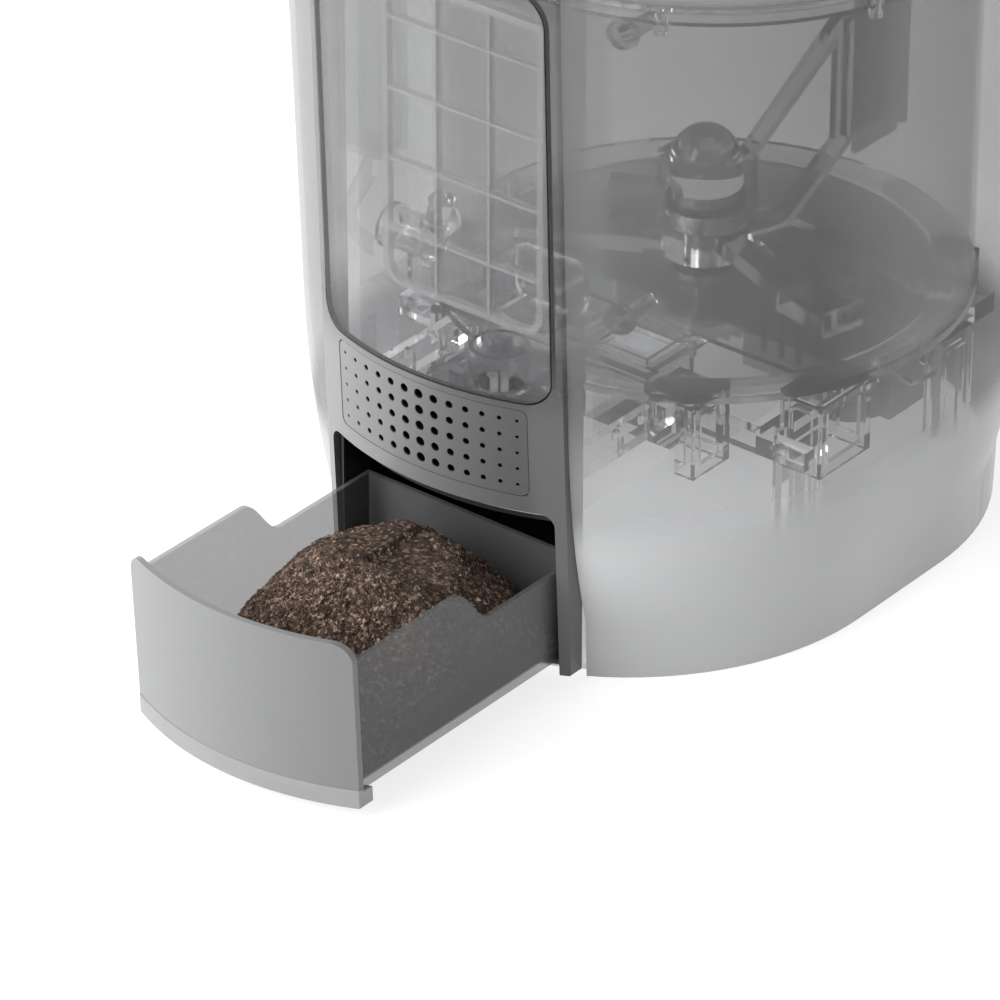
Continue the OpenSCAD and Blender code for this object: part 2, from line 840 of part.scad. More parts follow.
function involute(r, a) = r * [cos(a) + a * PI / 180 * sin(a), sin(a) - a * PI / 180 * cos(a)];
function turn(p, a) = [p.x * cos(a) - p.y * sin(a), p.x * sin(a) + p.y * cos(a)];
function mirrored(p) = [p.x, -p.y];

// spur gear outline: involute flanks of 20 degrees with a little backlash
module gear_outline(teeth, pr) {
    base = pr * cos(20);
    root = pr - 1.2 * gear_m;
    tip = pr + 0.9 * gear_m;
    backlash = 0.12;
    a_pitch = sqrt(pow(pr / base, 2) - 1) * 180 / PI;
    at_pitch = a_pitch - 20;
    half = 90 / teeth - backlash / pr * 180 / PI + at_pitch;
    a_tip = sqrt(pow(tip / base, 2) - 1) * 180 / PI;
    flank = [for (i = [0:3]) turn(involute(base, a_tip * i / 3), -half)];
    foot = turn([min(root, base - 0.1), 0], -half);
    tooth = concat([foot], flank, [for (i = [3:-1:0]) mirrored(flank[i])], [mirrored(foot)]);
    polygon([for (k = [0:teeth - 1], p = tooth) turn(p, k * 360 / teeth)]);
}

module drive_gear() {
    color([0.85, 0.8, 0.65]) difference() {
        union() {
            translate([0, 0, gear_z]) linear_extrude(gear_t) gear_outline(big_teeth, big_pr);
            rod(gear_hub_r, plate_z + plate_t + face_gap, gear_z + gear_t + 3 - face_gap);
        }
        rod(shaft_r + fit_gap, 0, big);
        for (k = [0:5]) rotate(k * 60 + 30) translate([26, 0, 0]) rod(7, 0, big);
    }
}

module idler_gear() {
    color([0.9, 0.88, 0.8]) translate([idler_at.x, idler_at.y, 0]) difference() {
        union() {
            translate([0, 0, gear_z]) rotate(idler_phase) linear_extrude(gear_t - 1)
                gear_outline(idler_teeth, idler_pr);
            rod(axle_r + 4, plate_z + plate_t + face_gap, gear_z + gear_t);
        }
        rod(axle_r + run_gap, 0, big);
    }
}

module motor_pinion() {
    color([0.75, 0.76, 0.78]) translate([motor_at.x, motor_at.y, 0]) {
        translate([0, 0, gear_z]) rotate(pinion_phase) linear_extrude(gear_t)
            gear_outline(pinion_teeth, pinion_pr);
        rod(motor_shaft_r, plate_z - 6, gear_z);
    }
}

module gear_plate() {
    color([0.6, 0.62, 0.64]) difference() {
        union() {
            block([-beam_x, -26, plate_z], [beam_x, 26, plate_z + plate_t]);
            block([idler_at.x - 20, 20, plate_z], [rear_block_x - 0.5, rear_beam_y + 8, plate_z + plate_t]);
        }
        rod(shaft_r + 2, 0, big);
        translate([idler_at.x, idler_at.y, 0]) rod(axle_r + fit_gap, 0, big);
        translate([motor_at.x, motor_at.y, 0]) rod(8, 0, big);
        for (x = [-70, -42]) translate([x, 0, 0]) rod(9, 0, big);
        for (side = [-1, 1]) translate([side * beam_x, 10, 0]) rod(2.5, 0, big);
    }
}

module idler_axle() {
    color([0.8, 0.8, 0.82]) translate([idler_at.x, idler_at.y, 0]) {
        rod(axle_r, plate_z, gear_z + gear_t + 2);
        rod(axle_r + 3, gear_z + gear_t + face_gap, gear_z + gear_t + 2);
        rod(axle_r + 2, plate_z - 2, plate_z);
    }
}

module gear_motor() {
    color([0.3, 0.31, 0.33]) translate([motor_at.x, motor_at.y, 0]) difference() {
        union() {
            rod(motor_r + 4, plate_z - 3, plate_z);
            rod(motor_r, plate_z - motor_h, plate_z - 3 + eps);
            rod(motor_r - 9, plate_z - motor_h - 6, plate_z - motor_h + eps);
        }
        rod(motor_shaft_r + run_gap, plate_z - 8, big);
        for (k = [0:2]) rotate(k * 120 + 60) translate([motor_r + 1.2, 0, 0]) rod(1.6, plate_z - 4, big);
    }
}

// ---- air path ----

module filter_housing() {
    z1 = chamber_z + chamber_h;
    color([0.78, 0.79, 0.81, 0.5]) difference() {
        union() {
            difference() {
                block([-chamber_half, -chamber_front, chamber_z], [chamber_half, -chamber_back, z1]);
                block([-chamber_half + chamber_t, -big, chamber_z + chamber_t],
                    [chamber_half - chamber_t, -chamber_back - chamber_t, z1 - chamber_t]);
            }
            side_hook();
            // ledges under the cartridge
            for (side = [-1, 1])
                mirror([side > 0 ? 0 : 1, 0, 0])
                    block([filter_half - 22, -chamber_front + 2, filter_z - 4],
                        [chamber_half - chamber_t + eps, -chamber_back - chamber_t + eps, filter_z]);
            // feet on the rails
            for (side = [-1, 1], y = [-chamber_front, -chamber_back - 8])
                block([side > 0 ? rail_x0 : -chamber_half, y, rail_top],
                    [side > 0 ? chamber_half : -rail_x0, y + 8, chamber_z + eps]);
        }
        through_front(60) port_outline(0);
        translate([blower_at.x, blower_at.y, 0]) rod(blower_port_r, 0, chamber_z + chamber_t + 1);
    }
}

blower_port_r = 12;

module filter_shape(grow, z_grow) {
    rounded(-filter_half - grow, filter_half + grow, filter_z, filter_z + filter_h + z_grow, 12, 3);
}

grid_cols = 3;
grid_rows = 4;

module filter_grid() {
    rib = 1.6;
    cell_w = 2 * filter_half / grid_cols;
    cell_h = 36.4;
    color([0.82, 0.83, 0.85, 0.6]) translate([0, -chamber_front + 2 + grid_t, 0]) rotate([90, 0, 0])
        linear_extrude(grid_t) intersection() {
            filter_shape(0.5, 0.5);
            union() {
                difference() {
                    filter_shape(0.5, 0.5);
                    rounded(-filter_half + 3, filter_half - 3, filter_z + 3, filter_z + filter_h - 3, 9, 2);
                }
                for (i = [1:grid_cols - 1])
                    translate([-filter_half + i * cell_w - rib / 2, filter_z]) square([rib, filter_h]);
                for (j = [1:grid_rows])
                    translate([-filter_half, filter_z - 8 + j * cell_h]) square([2 * filter_half, rib]);
            }
        }
}

module filter_cartridge() {
    color([0.7, 0.71, 0.73]) difference() {
        translate([0, -chamber_back - chamber_t - 3, 0]) rotate([90, 0, 0])
            linear_extrude(chamber_front - chamber_back - chamber_t - grid_t - 5.2) filter_shape(0, 0);
        // pleats across the front face
        for (i = [0:13])
            translate([-filter_half + 8 + i * 6, -big, filter_z + 12])
                cube([2.4, big - chamber_front + 14, filter_h - 20]);
    }
}

duct_w = 26;
duct_x0 = chamber_half + duct_w;
duct_y0 = chamber_front - 16;
duct_z = chamber_z + 75;

module return_duct() {
    z1 = chamber_z + chamber_h;
    color([0.75, 0.76, 0.78, 0.6]) difference() {
        block([-duct_x0, -duct_y0, duct_z], [-chamber_half, -chamber_back, z1]);
        block([-duct_x0 + 2, -duct_y0 + 2, duct_z + 2], [-chamber_half - 2, -chamber_back - 2, z1 + 1]);
    }
}

// hooked lug on the filter housing's left side
module side_hook() {
    translate([-chamber_half, -duct_y0 - 2, chamber_z + 28]) rotate([90, 0, 0])
        linear_extrude(4) polygon([[1, 0], [-6, 0], [-20, 9], [-22, 15], [-5, 51], [1, 51],
            [1, 43], [-14, 17], [-12, 12], [-4, 8], [1, 8]]);
}

module air_port() {
    color([0.5, 0.51, 0.52]) difference() {
        translate([0, -chamber_back + 26, 0]) rotate([90, 0, 0]) linear_extrude(26) difference() {
            port_outline(port_rim);
            port_outline(0);
        }
        rod(drum_r + 0.2, drum_z - 1, drum_top);
    }
}

elbow_z = 176;
elbow_y = 10.5 - chamber_back;
elbow_x = -chamber_half - 4;
elbow_r = 10;

module air_elbow() {
    color([0.7, 0.71, 0.73, 0.7]) difference() {
        union() {
            translate([elbow_x - 14, elbow_y, elbow_z]) rotate([0, 90, 0]) cylinder(r = elbow_r, h = 26);
            translate([elbow_x - 16, elbow_y, elbow_z]) rotate([0, 90, 0]) cylinder(r = elbow_r + 1.5, h = 4);
            translate([elbow_x + 8, elbow_y, elbow_z]) rotate([0, 20, 0]) cylinder(r = 6, h = 26);
            translate([elbow_x + 2, elbow_y, elbow_z]) rotate([-90, 0, 0]) cylinder(r = 7, h = 40);
        }
        translate([elbow_x - 20, elbow_y, elbow_z]) rotate([0, 90, 0]) cylinder(r = elbow_r - 2.5, h = 28);
        rod(drum_r + 0.25, drum_z - 1, drum_top);
    }
}

module blower_housing() {
    window_a = 38;
    color([0.6, 0.61, 0.63, 0.8]) translate([blower_at.x, blower_at.y, 0]) difference() {
        union() {
            rod(blower_r - 4, blower_z, blower_z + 12);
            rod(blower_r, blower_z + 12 - eps, blower_top);
        }
        difference() {
            rod(blower_r - 6, blower_z + 2, blower_z + 14 + eps);
            rod(6, 0, blower_z + 12);
        }
        rod(blower_r - 2, blower_z + 14, blower_top - 2);
        rod(blower_port_r, blower_top - 3, big);
        rod(fan_shaft_r + run_gap, blower_z + 1, big);
        // intake windows towards the vents
        for (a = [-window_a, 0, window_a]) rotate(a)
            block([-8, -big, blower_z + 18], [8, -blower_r / 2, blower_z + 36]);
    }
}

fan_shaft_r = 2.5;
fan_z = blower_z + 15;
fan_r = blower_r - 2 - 2.5;

module blower_wheel() {
    color([0.2, 0.2, 0.22]) translate([blower_at.x, blower_at.y, 0]) {
        rod(fan_shaft_r, blower_z + 1.5, fan_z);
        rod(fan_r, fan_z, fan_z + 2);
        rod(9, fan_z + 2 - eps, fan_z + 12);
        for (k = [0:fan_blades - 1]) rotate(k * 360 / fan_blades)
            block([blower_port_r, -0.6, fan_z + 2 - eps], [fan_r - 0.5, 0.6, fan_z + blower_h - 20]);
    }
}

module blower_duct() {
    color([0.7, 0.71, 0.73, 0.7]) translate([blower_at.x, blower_at.y, 0]) {
        tube(blower_port_r + 2.5, blower_port_r, blower_top, chamber_z);
        tube(blower_port_r + 5, blower_port_r, blower_top, blower_top + 2);
    }
}

// ---- electrics at the rear ----

inlet_z = 34;
inlet_w = 28;
inlet_h = 20;

module inlet_outline(grow) {
    rounded(-inlet_w / 2 - grow, inlet_w / 2 + grow, inlet_z - inlet_h / 2 - grow,
        inlet_z + inlet_h / 2 + grow, 3, 3);
}

module power_inlet() {
    face_y = rear_c + shell_r(inlet_z) + 0.8;
    color([0.08, 0.08, 0.09]) difference() {
        intersection() {
            rotate(180) through_front(face_y - 24) inlet_outline(0);
            block([-big, 0, 0], [big, face_y, big]);
        }
        rotate(180) through_front(face_y - 16)
            rounded(-inlet_w / 2 + 3, inlet_w / 2 - 3,
                inlet_z - inlet_h / 2 + 3, inlet_z + inlet_h / 2 - 3, 1, 4);
    }
    color("silver") for (x = [-7, 0, 7])
        block([x - 1, face_y - 16 - eps, inlet_z - (x == 0 ? -1 : 2)],
            [x + 1, face_y - 4, inlet_z + (x == 0 ? 5 : 2)]);
}

module control_box() {
    x = 46;
    y0 = 96;
    y1 = rear_c + shell_r(inlet_z) + 0.8 - 24;
    color([0.25, 0.35, 0.3]) difference() {
        block([-x, y0, pan_top], [x, y1, pan_top + 46]);
        block([-x + 2, y0 + 2, pan_top + 2], [x - 2, y1 - 2, pan_top + 44]);
        for (i = [-3:3]) block([i * 11 - 2, y0 - 1, pan_top + 10], [i * 11 + 2, y0 + 3, pan_top + 36]);
    }
}

grille_half = 46;
grille_z = 250;
grille_h = 70;
grille_slots = 9;

module rear_grille_outline(grow) {
    rounded(-grille_half - grow, grille_half + grow, grille_z - grow, grille_z + grille_h + grow,
        8 + grow, 8 + grow);
}

module rear_grille() {
    z0 = grille_z - 2;
    z1 = grille_z + grille_h + 2;
    pitch = (grille_h - 12) / grille_slots;
    color([0.5, 0.51, 0.53]) difference() {
        intersection() {
            translate([0, rear_c, 0]) rotate_extrude(angle = 180) polygon([
                [shell_r(z0) + 0.6, z0], [shell_r(z1) + 0.6, z1],
                [shell_r(z1) - shell_wall, z1], [shell_r(z0) - shell_wall, z0]]);
            rotate(180) through_front(60) rear_grille_outline(0);
        }
        for (i = [0:grille_slots - 1])
            block([-grille_half + 7, 60, grille_z + 6 + (i + 0.25) * pitch],
                [grille_half - 7, big, grille_z + 6 + (i + 0.75) * pitch]);
    }
}

// ---- deck, lid and controls ----

module top_deck() {
    color([0.78, 0.79, 0.8]) difference() {
        union() {
            round_plan() polygon([[0, shell_top], [deck_r, shell_top], [deck_r, deck_top - 3.2],
                [deck_r - 0.9, deck_top - 0.9], [deck_r - 3.2, deck_top], [0, deck_top]]);
            rod(feed_r + 4, deck_top - eps, deck_top + 4);
            for (side = [-1, 1]) hinge_ear(side);
        }
        rod(feed_r, 0, big);
        for (x = button_xs) translate([x, button_y, 0]) rod(button_stem_r + 0.3, 0, big);
        hinge_bore(pin_r + fit_gap);
    }
}

module hinge_ear(side) {
    x0 = side > 0 ? barrel_half + face_gap : -barrel_half - face_gap - ear_w;
    translate([x0, 0, 0]) rotate([90, 0, 90]) linear_extrude(ear_w) union() {
        translate([hinge_y, hinge_z]) circle(barrel_r);
        translate([hinge_y - barrel_r, shell_top + 1]) square([2 * barrel_r, hinge_z - shell_top - 1]);
    }
}

module hinge_bore(r) {
    translate([-100, hinge_y, hinge_z]) rotate([0, 90, 0]) cylinder(r = r, h = 200);
}

module hinge_pins() {
    color("silver") for (side = [-1, 1])
        translate([side > 0 ? barrel_half - 14 : -barrel_half - face_gap - ear_w, hinge_y, hinge_z])
            rotate([0, 90, 0]) cylinder(r = pin_r, h = ear_w + face_gap + 14);
}

// crowned (r, z) outline of the lid, drawn in by inset
function crown(r, rim) = lid_crown - (lid_crown - lid_edge) * pow(r / rim, 3);

module lid_profile(rim, inset, z0) {
    polygon(concat([[0, z0]], [[rim - inset, z0], [rim - inset, deck_top + lid_edge - 3 - inset * 0.5]],
        [for (i = [0:8]) let (r = (rim - 3 - inset) * (1 - i / 8)) [r, deck_top + crown(r, rim) - inset]]));
}

module lid() {
    rim = deck_r - 3;
    color([0.8, 0.81, 0.82]) difference() {
        union() {
            difference() {
                round_plan() lid_profile(rim, 0, lid_z);
                difference() {
                    round_plan() lid_profile(rim, lid_t, lid_z - 1);
                    block([-big, -lid_front - 1, 0], [big, -lid_front + lid_t, big]);
                    block([-big, lid_back - lid_t, 0], [big, lid_back + 1, big]);
                }
                block([-big, -big, 0], [big, -lid_front, big]);
                block([-big, lid_back, 0], [big, big, big]);
            }
            intersection() {
                block([-barrel_half, lid_back - lid_t, hinge_z - 3], [barrel_half, hinge_y, hinge_z + 3]);
                block([-big, -big, lid_z], [big, big, big]);
            }
            translate([-barrel_half, hinge_y, hinge_z]) rotate([0, 90, 0])
                cylinder(r = barrel_r, h = 2 * barrel_half);
        }
        hinge_bore(pin_r + run_gap);
        // finger scoop in the front edge
        translate([-30, -lid_front - 14, deck_top + 9]) rotate([0, 90, 0]) cylinder(r = 15.5, h = 60);
    }
}

liner_z = lid_z + 6;

module lid_liner() {
    color([0.35, 0.36, 0.37]) {
        rod(feed_r + 8, liner_z, liner_z + 3);
        tube(feed_r + 8, feed_r + 5, lid_z - 0.2, liner_z + eps);
        intersection() {
            for (a = [45:90:315]) rotate(a) translate([80, 0, 0]) rod(5, liner_z + 3 - eps, big);
            round_plan() lid_profile(deck_r - 3, lid_t + fit_gap, lid_z);
        }
    }
}

module rear_cap() {
    rim = deck_r - 3;
    color([0.74, 0.75, 0.76]) difference() {
        round_plan() lid_profile(rim, 0, deck_top);
        block([-big, -big, 0], [big, hump_y, big]);
    }
}

module control_panel() {
    color([0.1, 0.1, 0.11]) difference() {
        plan_plate(deck_r - panel_edge, deck_top, deck_top + panel_t);
        block([-big, -panel_back, 0], [big, big, big]);
        for (x = button_xs) translate([x, button_y, 0]) rod(button_r_hole, 0, big);
    }
}

module button(x) {
    translate([x, button_y, 0]) {
        rod(button_r, deck_top + button_travel + face_gap, deck_top + panel_t + button_proud);
        rod(button_stem_r, deck_top - 5, deck_top + button_travel + face_gap + eps);
    }
}

module power_button() {
    color([0.7, 0.8, 0.75]) button(button_xs[0]);
}

module mode_button() {
    color([0.75, 0.76, 0.78]) button(button_xs[1]);
}

module drain_button() {
    color([0.75, 0.76, 0.78]) button(button_xs[2]);
}

// ---- drawer, drawn pulled out ----

module pulled() {
    translate([0, -drawer_pull, 0]) children();
}

notch_y0 = 126;
notch_len = 26;

// side-view outline of what is cut away above the tray's rear walls
module rim_cut() {
    z_high = tray_z + tray_high;
    z_low = tray_z + tray_low;
    steps = 8;
    polygon(concat(
        [for (i = [0:steps]) [-notch_y0 + notch_len * i / steps,
            z_low + (z_high - z_low) * (1 + cos(180 * i / steps)) / 2]],
        [[10, z_low], [10, z_high + 20], [-notch_y0, z_high + 20]]));
}

// block of the tray's plan, drawn in by inset
module tray_solid(inset, z0, z1) {
    half = tray_half - inset;
    intersection() {
        front_solid(front_t + inset, z0, z1);
        block([-half, -big, 0], [half, 0, big]);
    }
    block([-half, front_c - eps, z0], [half, -tray_back - inset, z1]);
}

module drawer_tray() {
    top = tray_z + tray_high;
    color([0.45, 0.46, 0.48]) pulled() difference() {
        tray_solid(0, tray_z, top);
        tray_solid(tray_t, tray_z + tray_t, top + 1);
        across(-big, big) rim_cut();
    }
}

module drawer_front() {
    half = opening_half - 0.6;
    top = tray_z + tray_high + front_rise;
    color([0.5, 0.51, 0.53]) pulled() intersection() {
        front_skin(0, front_t, lip_z + lip_h, top);
        through_front() rounded(-half, half, lip_z + lip_h, top, 0.5, 10);
    }
}

lip_proud = 0.3;

module drawer_lip() {
    half = opening_half - 0.6;
    color([0.62, 0.63, 0.65, 0.8]) pulled() difference() {
        intersection() {
            front_skin(-lip_proud, lip_d + lip_proud, lip_z, lip_z + lip_h);
            block([-half, -big, 0], [half, 0, big]);
        }
        front_solid(front_t - fit_gap, tray_z, lip_z + lip_h + 1);
    }
}

outer_shell();
base_pan();
foot_ring();
front_panel();
window_panel();
window_seal();
vent_grille();
drawer_bay();
drawer_runners();
front_rails();
chassis_frame();
chassis_legs();
drum_brackets();
drum();
drum_flange();
drum_top_ring();
feed_funnel();
heater_plate();
outlet_collar();
outlet_chute();
breaker_pins();
shaft_seal();
shaft_bearings();
gear_plate();
idler_axle();
gear_motor();
filter_housing();
filter_grid();
filter_cartridge();
return_duct();
air_port();
air_elbow();
blower_housing();
blower_duct();
control_box();
power_inlet();
rear_grille();
top_deck();
rear_cap();
control_panel();
hinge_pins();
drawer_tray();
drawer_front();
drawer_lip();
discharge_gate();
agitator_shaft();
agitator_hub();
hub_band();
hub_dome();
mixing_arms();
mixing_blade();
drive_gear();
idler_gear();
motor_pinion();
blower_wheel();
lid();
lid_liner();
power_button();
mode_button();
drain_button();
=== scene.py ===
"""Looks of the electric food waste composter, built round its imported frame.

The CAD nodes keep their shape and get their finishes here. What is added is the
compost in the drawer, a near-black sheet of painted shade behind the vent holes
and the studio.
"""

from __future__ import annotations

import logging
import math
from dataclasses import dataclass, field
from enum import Enum
from functools import cache
from typing import ClassVar, Optional, Sequence, Union

import bpy
import numpy as np
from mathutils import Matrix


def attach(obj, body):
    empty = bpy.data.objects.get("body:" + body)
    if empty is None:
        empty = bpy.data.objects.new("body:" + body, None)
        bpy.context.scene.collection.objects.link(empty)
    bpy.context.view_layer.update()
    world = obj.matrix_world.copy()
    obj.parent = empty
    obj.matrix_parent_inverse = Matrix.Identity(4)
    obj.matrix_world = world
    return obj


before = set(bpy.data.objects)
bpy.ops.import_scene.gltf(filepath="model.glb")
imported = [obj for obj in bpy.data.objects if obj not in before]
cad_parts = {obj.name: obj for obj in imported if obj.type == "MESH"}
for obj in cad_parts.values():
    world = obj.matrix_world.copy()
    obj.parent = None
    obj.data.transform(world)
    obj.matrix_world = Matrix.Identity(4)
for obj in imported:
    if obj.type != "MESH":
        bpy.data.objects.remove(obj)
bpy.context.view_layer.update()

LOG = logging.getLogger("composter")

Colour = tuple[float, float, float]
Vec = tuple[float, float, float]
Span = tuple[float, float]
Socket = bpy.types.NodeSocket
Tree = bpy.types.NodeTree
Material = bpy.types.Material
Piece = bpy.types.Object
Array = np.ndarray
Feed = Union[Socket, float, Sequence[float]]


class Body(str, Enum):
    """Names of the bodies that added pieces ride on."""

    MACHINE = "machine"
    DRAWER = "drawer"


# --- laying nodes ---


class NodeBench:
    """A node tree with short helpers for laying nodes."""

    def __init__(self, tree: Tree) -> None:
        """Take a tree to lay nodes in."""
        self.tree = tree

    def add(self, kind: str, feeds: Optional[dict[str | int, Feed]] = None, **settings: object) -> bpy.types.Node:
        """Add a shader node, make its settings and then feed its inputs."""
        node = self.tree.nodes.new(f"ShaderNode{kind}")
        for label, value in settings.items():
            setattr(node, label, value)
        self.feed(node, feeds or {})
        return node

    def feed(self, node: bpy.types.Node, feeds: dict[str | int, Feed]) -> None:
        """Link or set a node's inputs."""
        for label, value in feeds.items():
            socket = node.inputs[label]
            if isinstance(value, Socket):
                self.tree.links.new(value, socket)
            elif socket.type == "RGBA":
                socket.default_value = (*value, 1.0)
            else:
                socket.default_value = value

    def math(self, operation: str, *feeds: Feed, clamp: bool = False) -> Socket:
        """A math node's result."""
        return self.add("Math", dict(enumerate(feeds)), operation=operation, use_clamp=clamp).outputs[0]

    def vector(self, operation: str, *feeds: Feed, **named: Feed) -> Socket:
        """A vector math node's result."""
        node = self.add("VectorMath", {**dict(enumerate(feeds)), **named}, operation=operation)
        return node.outputs["Value" if operation in ("DOT_PRODUCT", "LENGTH") else "Vector"]

    def split(self, vector: Socket) -> Sequence[Socket]:
        """The parts of a vector, to be picked by X, Y or Z."""
        return self.add("SeparateXYZ", {0: vector}).outputs

    def combine(self, **parts: Feed) -> Socket:
        """A vector from some of its parts."""
        return self.add("CombineXYZ", parts).outputs["Vector"]

    def noise(self, vector: Socket, scale: Feed, detail: float) -> Socket:
        """Cloudy noise round a half."""
        return self.add("TexNoise", {"Vector": vector, "Scale": scale, "Detail": detail}).outputs["Fac"]

    def ramp(
        self, value: Socket, low: Feed, high: Feed, start: Feed = 0.0, end: Feed = 1.0, smooth: bool = False
    ) -> Socket:
        """A value that goes from low to high while another goes from start to end."""
        feeds = {"Value": value, "From Min": start, "From Max": end, "To Min": low, "To Max": high}
        kind = "SMOOTHSTEP" if smooth else "LINEAR"
        return self.add("MapRange", feeds, interpolation_type=kind).outputs["Result"]

    def mix(self, factor: Socket, first: Feed, second: Feed, kind: str = "RGBA") -> Socket:
        """A mix of two colours, vectors or numbers by a factor."""
        return self.add("Mix", {"Factor": factor, "A": first, "B": second}, data_type=kind).outputs["Result"]


class GroupBench(NodeBench):
    """A new shader node group with its sockets."""

    def __init__(self, name: str, result: str, **inputs: float | Vec | None) -> None:
        """Open the group.

        Args:
            name: the group's name.
            result: name of its output, which is a vector if it is a normal and a number otherwise.
            inputs: default of each input, with underscores for spaces; None for a vector that is always linked.
        """
        super().__init__(bpy.data.node_groups.new(name, "ShaderNodeTree"))
        for label, default in inputs.items():
            kind = "NodeSocketFloat" if isinstance(default, float) else "NodeSocketVector"
            socket = self.tree.interface.new_socket(label.replace("_", " "), in_out="INPUT", socket_type=kind)
            if default is not None:
                socket.default_value = default
        kind = "NodeSocketVector" if result == "Normal" else "NodeSocketFloat"
        self.tree.interface.new_socket(result, in_out="OUTPUT", socket_type=kind)
        self.given = self.tree.nodes.new("NodeGroupInput").outputs
        self.out = self.tree.nodes.new("NodeGroupOutput")

    def close(self, value: Socket) -> Tree:
        """Give the group its result."""
        self.tree.links.new(value, self.out.inputs[0])
        return self.tree


class Effects:
    """Shader node groups that several finishes share, each built once."""

    @staticmethod
    @cache
    def mottle() -> Tree:
        """Slow and fast cloudiness mixed into one value from 0 to 1."""
        faster, slow_share, fast_share = 7.3, 0.7, 0.3
        bench = GroupBench("mottle", "Value", Vector=None, Scale=20.0)
        vector, scale = bench.given["Vector"], bench.given["Scale"]
        slow = bench.noise(vector, scale, 3.0)
        fast = bench.noise(vector, bench.math("MULTIPLY", scale, faster), 2.0)
        return bench.close(bench.math("MULTIPLY_ADD", fast, fast_share, bench.math("MULTIPLY", slow, slow_share)))

    @staticmethod
    @cache
    def grain() -> Tree:
        """Fine moulded grain as a height: small cells over softer noise."""
        bench = GroupBench("moulded_grain", "Height", Vector=None, Scale=900.0)
        vector, scale = bench.given["Vector"], bench.given["Scale"]
        cells = bench.add("TexVoronoi", {"Vector": vector, "Scale": scale}, feature="SMOOTH_F1")
        return bench.close(bench.math("ADD", cells.outputs["Distance"], bench.noise(vector, scale, 2.0)))

    @staticmethod
    @cache
    def height_fade() -> Tree:
        """A value that runs smoothly from one to another between two heights."""
        bench = GroupBench(
            "height_fade", "Value", Vector=None, From_Height=0.0, To_Height=0.1, From_Value=1.0, To_Value=0.2
        )
        sources = ("From Value", "To Value", "From Height", "To Height")
        height = bench.split(bench.given["Vector"])["Z"]
        return bench.close(bench.ramp(height, *(bench.given[label] for label in sources), smooth=True))

    @staticmethod
    @cache
    def barrel_normal() -> Tree:
        """Smooth normals for a barrel of two half rounds whose lower end tucks in.

        With t the share of the tuck's height below the waist, its radius falls by tuck * t**2.3, so its slope is
        flare + 2.3 * tuck / height * t**1.3. Faces that aren't the wall, such as rims, keep their own normal.
        """
        power, alike = 1.3, 0.9
        bench = GroupBench(
            "barrel_normal",
            "Normal",
            Vector=None,
            Normal=None,
            Front_Centre=-0.06,
            Rear_Centre=0.0,
            Waist=0.14,
            Tuck_Height=0.1,
            Flare=0.0,
            Steepness=0.1,
        )
        given = bench.given
        place = bench.split(given["Vector"])
        axis = bench.math("MAXIMUM", bench.math("MINIMUM", place["Y"], given["Rear Centre"]), given["Front Centre"])
        radial = bench.vector("NORMALIZE", bench.combine(X=place["X"], Y=bench.math("SUBTRACT", place["Y"], axis)))
        share = bench.math("DIVIDE", bench.math("SUBTRACT", given["Waist"], place["Z"]), given["Tuck Height"])
        share = bench.math("MAXIMUM", bench.math("MINIMUM", share, 1.0), 0.0)
        steep = bench.math("MULTIPLY", bench.math("POWER", share, power), given["Steepness"])
        drop = bench.combine(Z=bench.math("ADD", steep, given["Flare"]))
        unit = bench.vector("NORMALIZE", bench.vector("SUBTRACT", radial, drop))
        dot = bench.vector("DOT_PRODUCT", unit, given["Normal"])
        wall = bench.math("GREATER_THAN", bench.math("ABSOLUTE", dot), alike)
        turned = bench.vector("SCALE", unit, Scale=bench.math("SIGN", dot))
        return bench.close(bench.mix(wall, given["Normal"], turned, "VECTOR"))

    @staticmethod
    @cache
    def inner_side() -> Tree:
        """A mask that is 1 on faces that look towards an upright axis and 0 on those that look away from it."""
        bench = GroupBench("inner_side", "Value", Vector=None, Normal=None, Centre=(0.0, 0.0, 0.0))
        apart = bench.vector("SUBTRACT", bench.given["Vector"], bench.given["Centre"])
        flat = bench.vector("MULTIPLY", apart, (1.0, 1.0, 0.0))
        return bench.close(bench.math("LESS_THAN", bench.vector("DOT_PRODUCT", flat, bench.given["Normal"]), 0.0))

    @staticmethod
    @cache
    def face_depth() -> Tree:
        """A mask that is 1 behind a leaning round face and 0 on it: how a hole's wall is told from the face, so that
        painted shade can go on it.
        """
        bench = GroupBench(
            "face_depth", "Value", Vector=None, Centre=(0.0, 0.0, 0.0), Radius=0.15, Lean=0.0, Skin=0.0005
        )
        apart = bench.split(bench.vector("SUBTRACT", bench.given["Vector"], bench.given["Centre"]))
        reach = bench.vector("LENGTH", bench.combine(X=apart["X"], Y=apart["Y"]))
        face = bench.math("MULTIPLY_ADD", apart["Z"], bench.given["Lean"], bench.given["Radius"])
        return bench.close(bench.math("GREATER_THAN", bench.math("SUBTRACT", face, reach), bench.given["Skin"]))


# --- finishes ---


@dataclass(frozen=True)
class Fade:
    """A quantity that changes with height, or with x from left to right.

    Attributes:
        low: place in metres where it starts to change.
        high: place in metres where it has changed.
        at_low: its value up to the first place.
        at_high: its value from the second place on.
    """

    low: float
    high: float
    at_low: float = 0.0
    at_high: float = 1.0


@dataclass(frozen=True)
class RoundFace:
    """A round face that leans with height, behind which a moulding gets painted shade on the walls of its holes.

    Attributes:
        centre: a point on its axis, at the height where its radius is given.
        radius: its radius at that height.
        lean: growth of the radius with height.
        skin: depth below which a point counts as behind it.
        inside: colour behind it, painted shade.
    """

    centre: Vec
    radius: float
    lean: float
    skin: float = 0.0006
    inside: Colour = (0.004, 0.004, 0.004)


